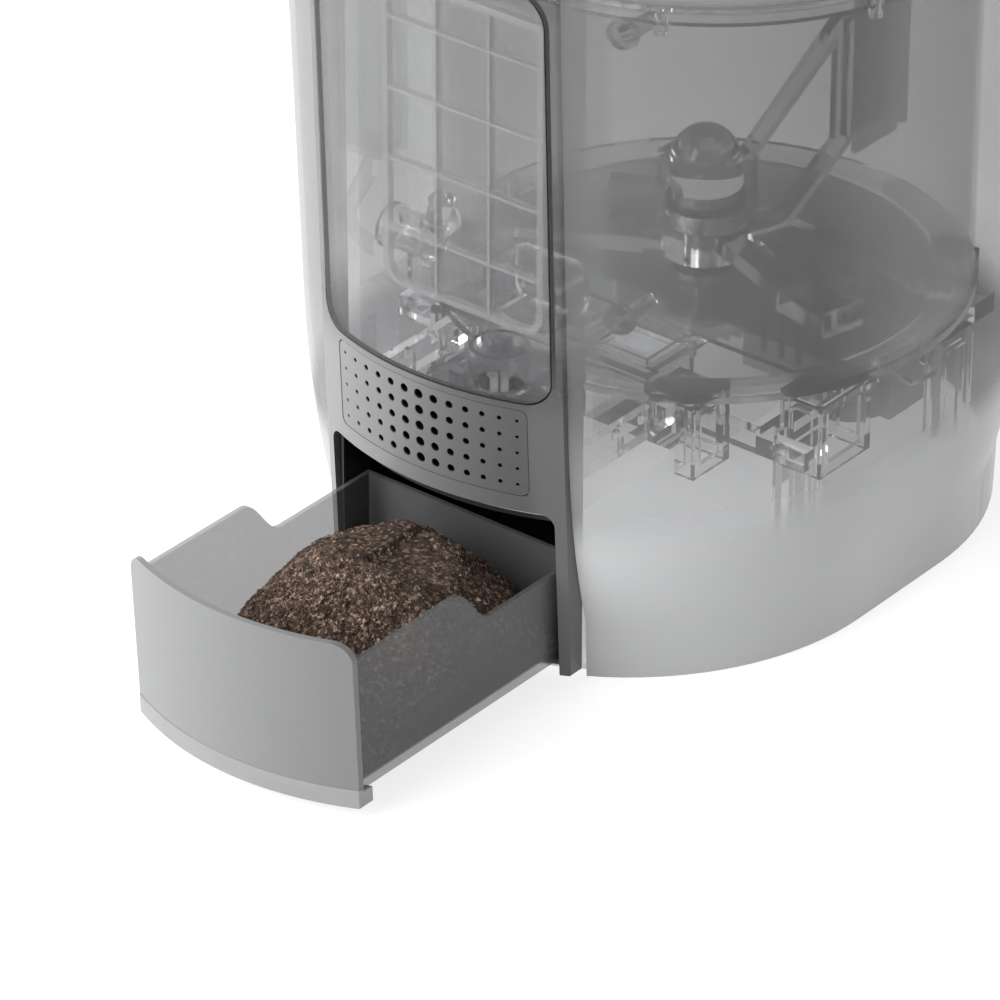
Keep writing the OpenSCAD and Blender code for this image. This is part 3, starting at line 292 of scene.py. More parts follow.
class ShaderBench(NodeBench):
    """One material's node tree, with Object coordinates and a Principled BSDF."""

    coat_rough = 0.06

    def __init__(self, name: str) -> None:
        """Start the material."""
        self.material = bpy.data.materials.new(f"{name}_finish")
        self.material.use_nodes = True
        super().__init__(self.material.node_tree)
        self.bsdf = self.tree.nodes["Principled BSDF"]
        self.place = self.add("TexCoord").outputs["Object"]

    def shade(self, **feeds: Feed) -> None:
        """Feed the shader's own sockets, named with underscores for spaces."""
        self.feed(self.bsdf, {label.replace("_", " "): value for label, value in feeds.items()})

    def group(self, tree: Tree, **feeds: Feed) -> Socket:
        """The result of a shared group, fed with Object coordinates and with others, named as for shade."""
        node = self.add("Group", node_tree=tree)
        self.feed(node, {"Vector": self.place, **{key.replace("_", " "): value for key, value in feeds.items()}})
        return node.outputs[0]

    def mottle(self, scale: float) -> Socket:
        """Cloudiness of a scale."""
        return self.group(Effects.mottle(), Scale=scale)

    def span(self, value: Socket, low: float, high: float) -> Socket:
        """Stretch the middle of a noise to low..high."""
        return self.ramp(value, low, high, 0.3, 0.7)

    def fade(self, how: Fade) -> Socket:
        """A value that changes with height."""
        return self.group(
            Effects.height_fade(), From_Height=how.low, To_Height=how.high, From_Value=how.at_low, To_Value=how.at_high
        )

    def across(self, how: Fade) -> Socket:
        """A value that changes from left to right, which carries painted light and shade across a finish."""
        return self.ramp(self.split(self.place)["X"], how.at_low, how.at_high, how.low, how.high, smooth=True)

    def shadow_share(self, share: float) -> Socket:
        """A factor of 1, or of a share for shadow rays, so that clear pieces don't black out what is behind them."""
        return self.ramp(self.add("LightPath").outputs["Is Shadow Ray"], 1.0, share)

    def bump(self, height: Socket, strength: float, distance: float) -> None:
        """Feed a height to the surface's normal."""
        feeds = {"Strength": strength, "Distance": distance, "Height": height}
        self.shade(Normal=self.add("Bump", feeds).outputs["Normal"])


@dataclass(frozen=True)
class Look:
    """What every finish with two colours has.

    Attributes:
        name: the material's name.
        low: darker colour, or the left one where painted light and shade run along x.
        high: lighter colour, or the right one.
    """

    name: str
    low: Colour
    high: Colour


@dataclass(frozen=True)
class Moulded(Look):
    """Moulded plastic, opaque or see-through, with grain and slight cloudiness.

    Attributes:
        rough: lowest and highest roughness.
        relief: strength of the grain.
        coat: weight of the clear gloss on top.
        gloss: strength of the surface's own reflection.
        alpha: how opaque it is, or how that changes with height.
        painted_light_sideways: painted light and shade, how the colour goes from low to high along x, in place of the
            cloudiness.
        face: the outer face, if the walls of its holes get painted shade.
        glow: painted light: emission that makes it shine though it is no lamp.
    """

    rough: Span
    relief: float = 0.0
    coat: float = 0.0
    gloss: float = 0.5
    alpha: float | Fade = 1.0
    painted_light_sideways: Optional[Fade] = None
    face: Optional[RoundFace] = None
    glow: float = 0.0

    cloud_scale: ClassVar[float] = 14.0
    grain_scale: ClassVar[float] = 1400.0
    grain_height: ClassVar[float] = 0.0002

    def build(self) -> Material:
        """Make the material."""
        bench = ShaderBench(self.name)
        mottle = bench.mottle(self.cloud_scale)
        # painted light and shade: with a sideways fade the colour runs along x with how the light falls, instead of
        # with the cloudiness
        factor = bench.across(self.painted_light_sideways) if self.painted_light_sideways else bench.span(mottle, 0.0, 1.0)
        colour = bench.mix(factor, self.low, self.high)
        # painted shade: the walls of the holes behind the face are coloured near black
        if self.face:
            face = self.face
            depth = Effects.face_depth()
            mask = bench.group(depth, Centre=face.centre, Radius=face.radius, Lean=face.lean, Skin=face.skin)
            colour = bench.mix(mask, colour, face.inside)
        if self.relief > 0:
            bench.bump(bench.group(Effects.grain(), Scale=self.grain_scale), self.relief, self.grain_height)
        bench.shade(
            Base_Color=colour,
            # painted light: it shines with its own colour, scaled by glow
            Emission_Color=colour,
            Emission_Strength=self.glow,
            Roughness=bench.span(mottle, *self.rough),
            Coat_Weight=self.coat,
            Coat_Roughness=bench.coat_rough,
            Specular_IOR_Level=self.gloss,
            Alpha=bench.fade(self.alpha) if isinstance(self.alpha, Fade) else self.alpha,
        )
        return bench.material


@dataclass(frozen=True)
class Barrel:
    """Form of the housing's wall, from which its smooth normals follow.

    Attributes:
        front_centre: y of the front half round's axis.
        rear_centre: y of the rear half round's axis.
        waist: z below which the wall tucks in.
        flare: growth of the radius with height.
        tuck: how far the foot is tucked in.
        tuck_height: height over which it does so.
        power: power with which it does so.
    """

    front_centre: float = -0.061
    rear_centre: float = 0.006
    waist: float = 0.144
    flare: float = 0.03
    tuck: float = 0.0091
    tuck_height: float = 0.11
    power: float = 2.3

    def normal(self, bench: ShaderBench, plain: Socket) -> Socket:
        """The wall's smooth normal, from the faces' own plain one."""
        return bench.group(
            Effects.barrel_normal(),
            Normal=plain,
            Front_Centre=self.front_centre,
            Rear_Centre=self.rear_centre,
            Waist=self.waist,
            Tuck_Height=self.tuck_height,
            Flare=self.flare,
            Steepness=self.power * self.tuck / self.tuck_height,
        )


@dataclass(frozen=True)
class Shell:
    """Smoky see-through housing, pearly on its inner side where it is looked at from within.

    Attributes:
        name: the material's name.
        smoke: colour of the outer side where it is seen through.
        solid: colour of the outer side where it is opaque.
        left: a darker solid colour at its left end, painted shade that keeps the side facing the key lamp from washing
            out.
        pearl: darker and lighter colour of the inner side.
        alpha: how opaque the outer side is with height.
        shade: how its colour goes from solid to smoke with height.
        painted_light_sideways: how the painted shade goes from the left colour to solid along x.
        behind: how opaque the inner side is, looked at from within.
        through: how opaque the inner side is, looked at through the wall.
        cast: share of its opacity that counts for shadows.
        rough: lowest and highest roughness.
        coat: weight of the clear gloss on top.
        form: form of the wall.
    """

    name: str
    smoke: Colour
    solid: Colour
    left: Colour
    pearl: tuple[Colour, Colour]
    alpha: Fade
    shade: Fade
    painted_light_sideways: Fade
    behind: float = 0.34
    through: float = 0.02
    cast: float = 0.12
    rough: Span = (0.255, 0.265)
    coat: float = 0.12
    form: Barrel = Barrel()

    cloud_scale: ClassVar[float] = 14.0

    def build(self) -> Material:
        """Make the material."""
        bench = ShaderBench(self.name)
        mottle = bench.mottle(self.cloud_scale)
        geometry = bench.add("NewGeometry").outputs
        side = bench.group(Effects.inner_side(), Normal=geometry["Normal"])
        # the normal is flipped on faces seen from behind: 1 where just one of the two values is 1
        inner = bench.math("ABSOLUTE", bench.math("SUBTRACT", side, geometry["Backfacing"]))
        # painted shade: the opaque outer side is darker towards its left end, which faces the key lamp
        solid_with_painted_shade = bench.mix(bench.across(self.painted_light_sideways), self.left, self.solid)
        outer_colour = bench.mix(bench.fade(self.shade), solid_with_painted_shade, self.smoke)
        inner_colour = bench.mix(bench.span(mottle, 0.0, 1.0), *self.pearl)
        within = bench.ramp(geometry["Backfacing"], self.behind, self.through)
        opacity = bench.mix(inner, bench.fade(self.alpha), within, "FLOAT")
        bench.shade(
            Base_Color=bench.mix(inner, outer_colour, inner_colour),
            Roughness=bench.span(mottle, *self.rough),
            Coat_Weight=self.coat,
            Coat_Roughness=bench.coat_rough,
            Alpha=bench.math("MULTIPLY", opacity, bench.shadow_share(self.cast)),
            Normal=self.form.normal(bench, geometry["Normal"]),
        )
        return bench.material


@dataclass(frozen=True)
class Clear(Look):
    """Clear smoky moulding that bends light.

    Attributes:
        ior: index of refraction.
        rough: lowest and highest roughness.
        cast: how dark a shadow it casts, from 0 to 1.
    """

    ior: float
    rough: Span = (0.02, 0.06)
    cast: float = 0.18

    cloud_scale: ClassVar[float] = 30.0

    def build(self) -> Material:
        """Make the material."""
        bench = ShaderBench(self.name)
        mottle = bench.mottle(self.cloud_scale)
        bench.shade(
            Base_Color=bench.mix(bench.span(mottle, 0.0, 1.0), self.low, self.high),
            Roughness=bench.span(mottle, *self.rough),
            Transmission_Weight=1.0,
            IOR=self.ior,
            Alpha=bench.shadow_share(self.cast),
        )
        return bench.material


@dataclass(frozen=True)
class Film(Look):
    """Thin clear wall, seen through with little bending, darker where it turns away.

    Attributes:
        face: how opaque it is seen square on.
        rim: how opaque it is where it turns away.
        rough: lowest and highest roughness.
        far: colour of its right part, painted light and shade.
        painted_light_sideways: how the colour goes over to that part along x.
    """

    face: float
    rim: float
    rough: Span = (0.06, 0.14)
    far: Colour = (0.5, 0.5, 0.5)
    painted_light_sideways: Optional[Fade] = None

    cloud_scale: ClassVar[float] = 18.0
    coat: ClassVar[float] = 0.4
    turn: ClassVar[float] = 0.35

    def build(self) -> Material:
        """Make the material."""
        bench = ShaderBench(self.name)
        mottle = bench.mottle(self.cloud_scale)
        colour = bench.mix(bench.span(mottle, 0.0, 1.0), self.low, self.high)
        # painted light and shade: the colour changes to the far colour along x, as light or shade would fall
        if self.painted_light_sideways:
            colour = bench.mix(bench.across(self.painted_light_sideways), colour, self.far)
        facing = bench.add("LayerWeight", {"Blend": self.turn}).outputs["Facing"]
        bench.shade(
            Base_Color=colour,
            Roughness=bench.span(mottle, *self.rough),
            Coat_Weight=self.coat,
            Alpha=bench.ramp(facing, self.face, self.rim),
        )
        return bench.material


@dataclass(frozen=True)
class Metal(Look):
    """Bare or polished metal with faint drawn lines.

    Attributes:
        rough: lowest and highest roughness.
    """

    rough: Span

    squeeze: ClassVar[Vec] = (1.0, 1.0, 26.0)
    line_scale: ClassVar[float] = 60.0

    def build(self) -> Material:
        """Make the material."""
        bench = ShaderBench(self.name)
        mapping = bench.add("Mapping", {"Scale": self.squeeze, "Vector": bench.place})
        lines = bench.noise(mapping.outputs["Vector"], self.line_scale, 3.0)
        bench.bump(lines, 0.05, 0.0002)
        bench.shade(
            Base_Color=bench.mix(bench.span(lines, 0.0, 1.0), self.low, self.high),
            Roughness=bench.span(lines, *self.rough),
            Metallic=1.0,
        )
        return bench.material


@dataclass(frozen=True)
class Roofed:
    """Dark inside, with painted light outside: its roof above some height and its flanks beyond some half width are
    pale and glow.

    Attributes:
        name: the material's name.
        dark: colour of its inside.
        pale: colour of its outside, painted light.
        height: height above which faces that look up are pale.
        half: distance from the middle beyond which its flanks are pale.
        glow: painted light: emission on its pale outside, though it is no lamp.
        rough: lowest and highest roughness.
    """

    name: str
    dark: Colour
    pale: Colour
    height: float
    half: float
    glow: float
    rough: Span = (0.4, 0.55)

    cloud_scale: ClassVar[float] = 16.0
    step: ClassVar[float] = 0.0005

    def build(self) -> Material:
        """Make the material."""
        bench = ShaderBench(self.name)
        # painted light: faces that look up above the height, and the flanks, are pale and glow as if lit
        upward = bench.split(bench.add("NewGeometry").outputs["Normal"])["Z"]
        high = bench.fade(Fade(self.height, self.height + self.step))
        roof = bench.math("MULTIPLY", upward, high, clamp=True)
        off = bench.math("ABSOLUTE", bench.split(bench.place)["X"])
        outside = bench.math("MAXIMUM", roof, bench.math("GREATER_THAN", off, self.half))
        bench.shade(
            Base_Color=bench.mix(outside, self.dark, self.pale),
            Emission_Color=bench.mix(outside, (0.0, 0.0, 0.0), self.pale),
            Emission_Strength=self.glow,
            Roughness=bench.span(bench.mottle(self.cloud_scale), *self.rough),
        )
        return bench.material


@dataclass(frozen=True)
class Crumbly:
    """Dry ripe compost: browns from near black to straw, matte and rough.

    Attributes:
        name: the material's name.
        dark: colour of damp crumbs.
        mid: colour of most crumbs.
        pale: colour of dry fibres.
    """

    name: str
    dark: Colour
    mid: Colour
    pale: Colour

    speck_scale: ClassVar[float] = 620.0
    noise_scale: ClassVar[float] = 260.0
    dry_from: ClassVar[float] = 0.62
    relief: ClassVar[Span] = (0.8, 0.0012)

    def build(self) -> Material:
        """Make the material."""
        bench = ShaderBench(self.name)
        specks = bench.add("TexVoronoi", {"Scale": self.speck_scale, "Vector": bench.place})
        noise = bench.noise(bench.place, self.noise_scale, 5.0)
        dice = bench.add("SeparateColor", {0: specks.outputs["Color"]}).outputs[0]
        base = bench.mix(bench.span(noise, 0.0, 1.0), self.dark, self.mid)
        bench.bump(noise, *self.relief)
        bench.shade(
            Base_Color=bench.mix(bench.ramp(dice, 0.0, 1.0, self.dry_from), base, self.pale),
            Roughness=bench.span(noise, 0.75, 0.95),
            Specular_IOR_Level=0.25,
        )
        return bench.material


class Finish(Enum):
    """Every finish on the machine."""

    HOUSING = Shell(
        "housing_smoke",
        smoke=(0.18, 0.182, 0.185),
        solid=(0.52, 0.525, 0.532),
        # painted shade: a darker opaque colour on the left, the side the key lamp lights most
        left=(0.34, 0.343, 0.348),
        pearl=((0.58, 0.583, 0.59), (0.64, 0.643, 0.65)),
        alpha=Fade(0.070, 0.100, 1.0, 0.40),
        shade=Fade(0.105, 0.170, 0.0, 0.9),
        painted_light_sideways=Fade(-0.10, 0.075),
    )
    # painted light and shade: the front panel is lighter on the left, towards the key lamp, and darker on the right
    FRONT = Moulded(
        "front_grey",
        (0.21, 0.212, 0.216),
        (0.080, 0.081, 0.083),
        rough=(0.26, 0.34),
        relief=0.03,
        coat=0.25,
        alpha=Fade(0.140, 0.190, 1.0, 0.30),
        painted_light_sideways=Fade(-0.075, 0.075),
    )
    # painted light and shade: lighter on the left, towards the key lamp, and darker on the right; painted shade, near
    # black, on the walls of the vent holes
    GRILLE = Moulded(
        "grille_grey",
        (0.205, 0.207, 0.211),
        (0.070, 0.071, 0.073),
        rough=(0.3, 0.4),
        relief=0.04,
        coat=0.1,
        painted_light_sideways=Fade(-0.075, 0.075),
        face=RoundFace(centre=(0.0, -0.061, 0.144), radius=0.1571, lean=0.045),
    )
    WINDOW = Film("window_smoke", (0.20, 0.203, 0.208), (0.26, 0.263, 0.268), face=0.05, rim=0.4)
    # painted light: the base pan glows to brighten the shaded inside of the housing
    PEARL = Moulded("inner_pearl", (0.70, 0.703, 0.708), (0.78, 0.783, 0.788), rough=(0.3, 0.4), coat=0.2, glow=0.30)
    RUBBER = Moulded(
        "black_rubber", (0.004, 0.004, 0.004), (0.008, 0.008, 0.008), rough=(0.6, 0.75), relief=0.15, gloss=0.1
    )
    BLACK = Moulded("black_plastic", (0.008, 0.008, 0.009), (0.014, 0.014, 0.015), rough=(0.4, 0.55), relief=0.1)
    # painted shade: a near-black sheet behind the vent holes stands in for the shade inside them
    VENT_SHADE_SHEET = Moulded(
        "vent_shade_sheet", (0.003, 0.003, 0.003), (0.006, 0.006, 0.006), rough=(0.85, 0.95), relief=0.3, gloss=0.05
    )
    # painted light: the bay's roof and flanks, seen through the shell, are pale and glow to brighten the shaded inside
    BAY = Roofed("bay_painted_light", (0.008, 0.008, 0.009), (0.80, 0.803, 0.81), height=0.074, half=0.0685, glow=0.26)
    # painted light and shade: only the left wall keeps the lighter grey; the rest of the tray takes the darker far
    # colour, the shade of its side
    TRAY = Film(
        "tray_smoke",
        (0.24, 0.242, 0.246),
        (0.28, 0.282, 0.286),
        face=0.36,
        rim=0.66,
        rough=(0.22, 0.30),
        far=(0.11, 0.111, 0.113),
        painted_light_sideways=Fade(-0.067, -0.057),
    )
    # painted light and shade: the drawer front is lighter on the left, towards the key lamp, and darker on the right
    DRAWER_FRONT = Moulded(
        "drawer_grey",
        (0.225, 0.227, 0.23),
        (0.175, 0.177, 0.18),
        rough=(0.26, 0.34),
        relief=0.03,
        coat=0.2,
        alpha=0.94,
        painted_light_sideways=Fade(-0.065, 0.065),
    )
    LIP = Moulded("lip_pale", (0.25, 0.252, 0.256), (0.30, 0.303, 0.308), rough=(0.12, 0.2), coat=0.5, alpha=0.75)
    STEEL = Clear("frame_clear", (0.86, 0.865, 0.87), (0.93, 0.933, 0.936), ior=1.40)
    # painted light: the drum's right edge takes a near-white far colour, as if lit
    DRUM = Film(
        "drum_clear",
        (0.12, 0.121, 0.123),
        (0.15, 0.151, 0.153),
        face=0.13,
        rim=0.46,
        far=(0.85, 0.853, 0.858),
        painted_light_sideways=Fade(0.112, 0.134),
    )
    DRUM_RIM = Clear("drum_rim_clear", (0.80, 0.805, 0.81), (0.88, 0.883, 0.888), ior=1.40)
    CHROME = Metal("polished_steel", (0.62, 0.62, 0.63), (0.78, 0.78, 0.79), rough=(0.08, 0.16))
    ARMS = Clear("arm_clear", (0.52, 0.523, 0.528), (0.60, 0.603, 0.608), ior=1.45)
    HUB = Clear("hub_smoke", (0.84, 0.843, 0.848), (0.90, 0.903, 0.908), ior=1.42)
    BLADE = Film("blade_smoke", (0.08, 0.082, 0.088), (0.11, 0.112, 0.118), face=0.42, rim=0.8)
    GEAR = Film("gear_clear", (0.30, 0.302, 0.305), (0.36, 0.362, 0.365), face=0.30, rim=0.70)
    MOTOR = Moulded("motor_paint", (0.20, 0.202, 0.206), (0.24, 0.242, 0.246), rough=(0.3, 0.45), relief=0.08)
    HEATER = Film("heater_glass", (0.05, 0.051, 0.053), (0.07, 0.071, 0.073), face=0.46, rim=0.62)
    DUCT = Clear("duct_clear", (0.84, 0.845, 0.85), (0.92, 0.923, 0.926), ior=1.38, rough=(0.08, 0.14))
    CHAMBER = Film("chamber_clear", (0.20, 0.202, 0.206), (0.26, 0.262, 0.266), face=0.03, rim=0.35)
    GRID = Film("grid_clear", (0.30, 0.302, 0.306), (0.36, 0.362, 0.366), face=0.34, rim=0.62)
    FLEECE = Film("filter_fleece", (0.50, 0.503, 0.508), (0.56, 0.563, 0.568), face=0.03, rim=0.10, rough=(0.7, 0.9))
    BLOWER = Film("blower_smoke", (0.10, 0.102, 0.108), (0.14, 0.142, 0.148), face=0.35, rim=0.8)
    WHEEL = Moulded("wheel_dark", (0.02, 0.02, 0.022), (0.035, 0.035, 0.038), rough=(0.25, 0.35))
    BOARD_BOX = Moulded("board_box", (0.24, 0.242, 0.245), (0.28, 0.282, 0.285), rough=(0.5, 0.6), relief=0.1)
    DECK = Moulded("deck_grey", (0.36, 0.365, 0.375), (0.42, 0.425, 0.435), rough=(0.12, 0.2), coat=0.5, alpha=0.8)
    LID = Film("lid_smoke", (0.28, 0.285, 0.295), (0.36, 0.365, 0.375), face=0.38, rim=0.8)
    LINER = Moulded("liner_grey", (0.10, 0.102, 0.106), (0.14, 0.142, 0.146), rough=(0.35, 0.5), relief=0.08)
    BUTTON = Moulded("button_pale", (0.46, 0.47, 0.48), (0.56, 0.57, 0.58), rough=(0.2, 0.3), coat=0.3)
    REAR = Moulded("rear_grille_grey", (0.20, 0.203, 0.21), (0.26, 0.263, 0.27), rough=(0.35, 0.45), relief=0.05)
    COMPOST = Crumbly("ripe_compost", (0.012, 0.008, 0.006), (0.055, 0.035, 0.025), (0.16, 0.11, 0.08))
    CRUMBS = Crumbly("compost_crumbs", (0.042, 0.027, 0.020), (0.160, 0.106, 0.079), (0.40, 0.292, 0.23))

    @cache
    def material(self) -> Material:
        """The finish's material, made the first time it is asked for."""
        return self.value.build()


# --- mesh helpers ---


def mesh_piece(name: str, points: Array, *faces: Array, smooth: bool = True) -> Piece:
    """Make an object at the origin from points and faces.

    Args:
        name: the piece's name.
        points: N by 3 array of places in metres.
        faces: arrays of point numbers with a row for each face, one array for each number of corners.
        smooth: whether its faces are shaded smooth.

    Returns:
        The new object, linked to the scene.
    """
    corners = np.concatenate([np.full(len(part), part.shape[1], dtype=np.int32) for part in faces])
    order = np.concatenate([part.ravel() for part in faces])
    mesh = bpy.data.meshes.new(name)
    mesh.vertices.add(len(points))
    mesh.vertices.foreach_set("co", points.astype(np.float32).ravel())
    mesh.loops.add(len(order))
    mesh.loops.foreach_set("vertex_index", order.astype(np.int32))
    mesh.polygons.add(len(corners))
    mesh.polygons.foreach_set("loop_start", (np.cumsum(corners) - corners).astype(np.int32))
    mesh.polygons.foreach_set("use_smooth", np.full(len(corners), smooth))
    mesh.update(calc_edges=True)
    mesh.validate()
    piece = bpy.data.objects.new(name, mesh)
    bpy.context.scene.collection.objects.link(piece)
    return piece


def grid_faces(rows: int, cols: int) -> Array:
    """Quads of a rows by cols grid of points, numbered row by row."""
    corner = np.arange(rows * cols).reshape(rows, cols)[:-1, :-1].ravel()
    return np.stack([corner, corner + 1, corner + cols + 1, corner + cols], axis=-1)


def grid_border(rows: int, cols: int) -> Array:
    """Numbers of the points on the border of such a grid, once round."""
    number = np.arange(rows * cols).reshape(rows, cols)
    return np.concatenate([number[0], number[1:, -1], number[-1, -2::-1], number[-2:0:-1, 0]])


def outward(piece: Piece) -> None:
    """Turn all of a closed mesh's faces outwards."""
    bpy.ops.object.select_all(action="DESELECT")
    piece.select_set(True)
    bpy.context.view_layer.objects.active = piece
    bpy.ops.object.mode_set(mode="EDIT")
    bpy.ops.mesh.select_all(action="SELECT")
    bpy.ops.mesh.normals_make_consistent(inside=False)
    bpy.ops.object.mode_set(mode="OBJECT")


def finish_piece(piece: Piece, finish: Finish, body: Body) -> Piece:
    """Give a new piece its material and the body it rides on."""
    piece.data.materials.append(finish.material())
    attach(piece, body.value)
    return piece


def value_noise(x: Array, y: Array, cell: float, seed: int) -> Array:
    """Smooth random heights from -1 to 1 on a square lattice.

    The four lattice values round a point are blended with weights s = t*t*(3-2t) of its place in the cell.

    Args:
        x: places along x.
        y: places along y.
        cell: size of a lattice cell.
        seed: number that picks the lattice.

    Returns:
        Heights, as an array of x's shape.
    """
    period, shift_x, shift_y = 256, 80.0, 150.0
    table = np.random.default_rng(seed).uniform(-1.0, 1.0, (period + 1, period + 1))
    u, v = x / cell + shift_x, y / cell + shift_y
    i, j = np.floor(u).astype(int), np.floor(v).astype(int)
    s, t = u - i, v - j
    s, t = s * s * (3 - 2 * s), t * t * (3 - 2 * t)
    i, j = i % period, j % period
    low = table[i, j] * (1 - s) + table[i + 1, j] * s
    high = table[i, j + 1] * (1 - s) + table[i + 1, j + 1] * s
    return low * (1 - t) + high * t


# --- sub-assemblies ---


class SubAssembly:
    """A group of CAD nodes with what is added to it."""

    FINISHES: ClassVar[dict[Finish, tuple[str, ...]]] = {}

    def dress(self) -> None:
        """Give the CAD nodes their finishes."""
        for finish, nodes in self.FINISHES.items():
            for node in nodes:
                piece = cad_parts[node]
                if not piece.material_slots:
                    piece.data.materials.append(finish.material())
                for slot in piece.material_slots:
                    slot.link = "OBJECT"
                    slot.material = finish.material()

    def build(self) -> list[Piece]:
        """Make the added pieces, if there are any."""
        return []


@dataclass
class Heap:
    """The heap of ripe compost in the pulled-out drawer, with loose crumbs on it.

    Attributes:
        half_width: half the room between the tray's side walls.
        back: y of the tray's inner back wall.
        front_centre: y of the front arc's centre for the pulled-out drawer.
        front_radius: inner radius of the tray's front wall.
        floor: z of the tray's floor.
        grid: number of rows and columns of points on its top.
        crown: z of the heap's top.
        crown_at: x and y of the heap's top.
        spread: half widths of the mound along x and y.
        drop: fall of the mound at its half width.
        powers: powers of the distance along x, along y and of both, with which it falls.
        lumps: size, cell and seed of each noise that roughens it.
        least: least depth of the compost.
        scraped: y and z of the line that the housing scrapes the heap to when the drawer is pushed in.
        chute: lowest and highest x, and lowest y, of what then comes under the chute.
        chute_foot: height that the chute scrapes the heap to.
        bank: slope of the compost beside the chute.
        pressed: share of the lumps that is left where the heap is scraped.
        gap: room between the lines above and the scraped heap.
        blend: how softly the mound passes into what is scraped.
        crumbs: number of crumbs.
        margin: their least distance from the side walls, and from the front and back walls.
        crumb_size: size of the smallest crumb, and what the largest adds to it.
        rarity: two shape values of the beta distribution of their sizes.
        front_band: y of the two ends of the part where crumbs sink in more and more.
        lift: how far they stick out at those ends, as shares of their size.
        jitter: least and greatest reach of a crumb's corners, as shares of its size.
        stretch: least and greatest stretch along each axis.
    """

    half_width: float = 0.0617
    back: float = -0.1811
    front_centre: float = -0.2060
    front_radius: float = 0.1452
    floor: float = 0.0176
    grid: tuple[int, int] = (310, 260)
    crown: float = 0.0830
    crown_at: Span = (0.004, -0.2544)
    spread: Span = (0.0617, 0.0739)
    drop: float = 0.0447
    powers: Vec = (2.2, 2.3, 0.95)
    lumps: tuple[tuple[float, float, int], ...] = (
        (0.0034, 0.017, 3),
        (0.0016, 0.0062, 7),
        (0.0009, 0.0024, 11),
        (0.0005, 0.0012, 17),
    )
    least: float = 0.004
    scraped: tuple[Span, ...] = ((-0.290, 0.1278), (-0.2610, 0.0752), (-0.10, 0.0752))
    chute: Vec = (0.0, 0.052, -0.2545)
    chute_foot: float = 0.0716
    bank: float = 1.4
    pressed: float = 0.3
    gap: float = 0.0012
    blend: float = 0.003
    crumbs: int = 24000
    margin: Span = (0.002, 0.003)
    crumb_size: Span = (0.0005, 0.0008)
    rarity: Span = (1.2, 4.0)
    front_band: Span = (-0.286, -0.265)
    lift: Span = (0.35, -0.9)
    jitter: Span = (0.55, 1.35)
    stretch: Span = (0.45, 1.55)

    def height(self, x: Array, y: Array) -> Array:
        """Height of the heap: a mound that falls with a power of the distance, roughened by noises."""
        along_x, along_y, both = self.powers
        u = np.abs((x - self.crown_at[0]) / self.spread[0])
        v = np.abs((y - self.crown_at[1]) / self.spread[1])
        fall = self.drop * (u**along_x + v**along_y) ** both
        lumps = sum(size * value_noise(x, y, cell, seed) for size, cell, seed in self.lumps)
        low, high, near = self.chute
        outside = np.maximum(np.maximum(low - x, x - high), near - y)
        chute = self.chute_foot + self.bank * np.maximum(outside, 0.0)
        line = np.interp(y, *np.array(self.scraped).T)
        scraped = np.minimum(line, chute) + self.pressed * lumps - self.gap
        free = self.crown - fall + lumps
        soft = 0.5 * (free + scraped - np.sqrt((free - scraped) ** 2 + self.blend**2))
        return np.maximum(soft, self.floor + self.least)

    def front(self, x: Array, margin: float = 0.0) -> Array:
        """The y of the tray's bulged front wall, or of a line at some distance from it."""
        return self.front_centre - np.sqrt((self.front_radius - margin) ** 2 - x**2)

    def build(self) -> Piece:
        """The heap as a closed block: its rough top, its sides against the walls and its underside."""
        rows, cols = self.grid
        x = np.repeat(np.linspace(-1.0, 1.0, cols)[None, :] * self.half_width, rows, axis=0)
        y = self.back + (self.front(x) - self.back) * np.linspace(0.0, 1.0, rows)[:, None]
        top = np.stack([x, y, self.height(x, y)], axis=-1).reshape(-1, 3)
        edge = grid_border(rows, cols)
        skirt = top[edge].copy()
        skirt[:, 2] = self.floor
        points = np.concatenate([top, skirt, [[0.0, self.crown_at[1], self.floor]]])
        foot = len(top) + np.arange(len(edge))
        side = np.stack([edge, np.roll(edge, -1), np.roll(foot, -1), foot], axis=-1)
        under = np.stack([foot, np.roll(foot, -1), np.full(len(edge), len(points) - 1)], axis=-1)
        piece = mesh_piece("compost_heap", points, grid_faces(rows, cols)[:, ::-1], side, under)
        outward(piece)
        return finish_piece(piece, Finish.COMPOST, Body.DRAWER)

    def build_crumbs(self) -> Piece:
        """Loose crumbs: squashed and jittered octahedra scattered on the heap, larger ones rarer."""
        rng = np.random.default_rng(42)
        count = self.crumbs
        beside, ahead = self.margin
        x = rng.uniform(-self.half_width + beside, self.half_width - beside, count)
        y = self.back - ahead + (self.front(x, ahead) + ahead - self.back) * rng.uniform(0.0, 1.0, count)
        size = self.crumb_size[0] + self.crumb_size[1] * rng.beta(*self.rarity, count)
        z = self.height(x, y) + size * np.interp(y, self.front_band, self.lift)
        corners = np.array([[1, 0, 0], [0, 1, 0], [-1, 0, 0], [0, -1, 0], [0, 0, 1], [0, 0, -1]], dtype=float)
        tris = np.array([[0, 1, 4], [1, 2, 4], [2, 3, 4], [3, 0, 4], [1, 0, 5], [2, 1, 5], [3, 2, 5], [0, 3, 5]])
        shape = corners[None] * rng.uniform(*self.jitter, (count, len(corners), 1)) * size[:, None, None]
        shape *= rng.uniform(*self.stretch, (count, 1, 3))
        turn = rng.uniform(0, math.tau, count)
        tilt = rng.uniform(0, math.pi, count)
        ct, st, cu, su = np.cos(turn), np.sin(turn), np.cos(tilt), np.sin(tilt)
        zero, one = np.zeros(count), np.ones(count)
        about_z = np.stack([ct, -st, zero, st, ct, zero, zero, zero, one], -1).reshape(count, 3, 3)
        about_x = np.stack([one, zero, zero, zero, cu, -su, zero, su, cu], -1).reshape(count, 3, 3)
        shape = np.einsum("nij,njk,npk->npi", about_z, about_x, shape)
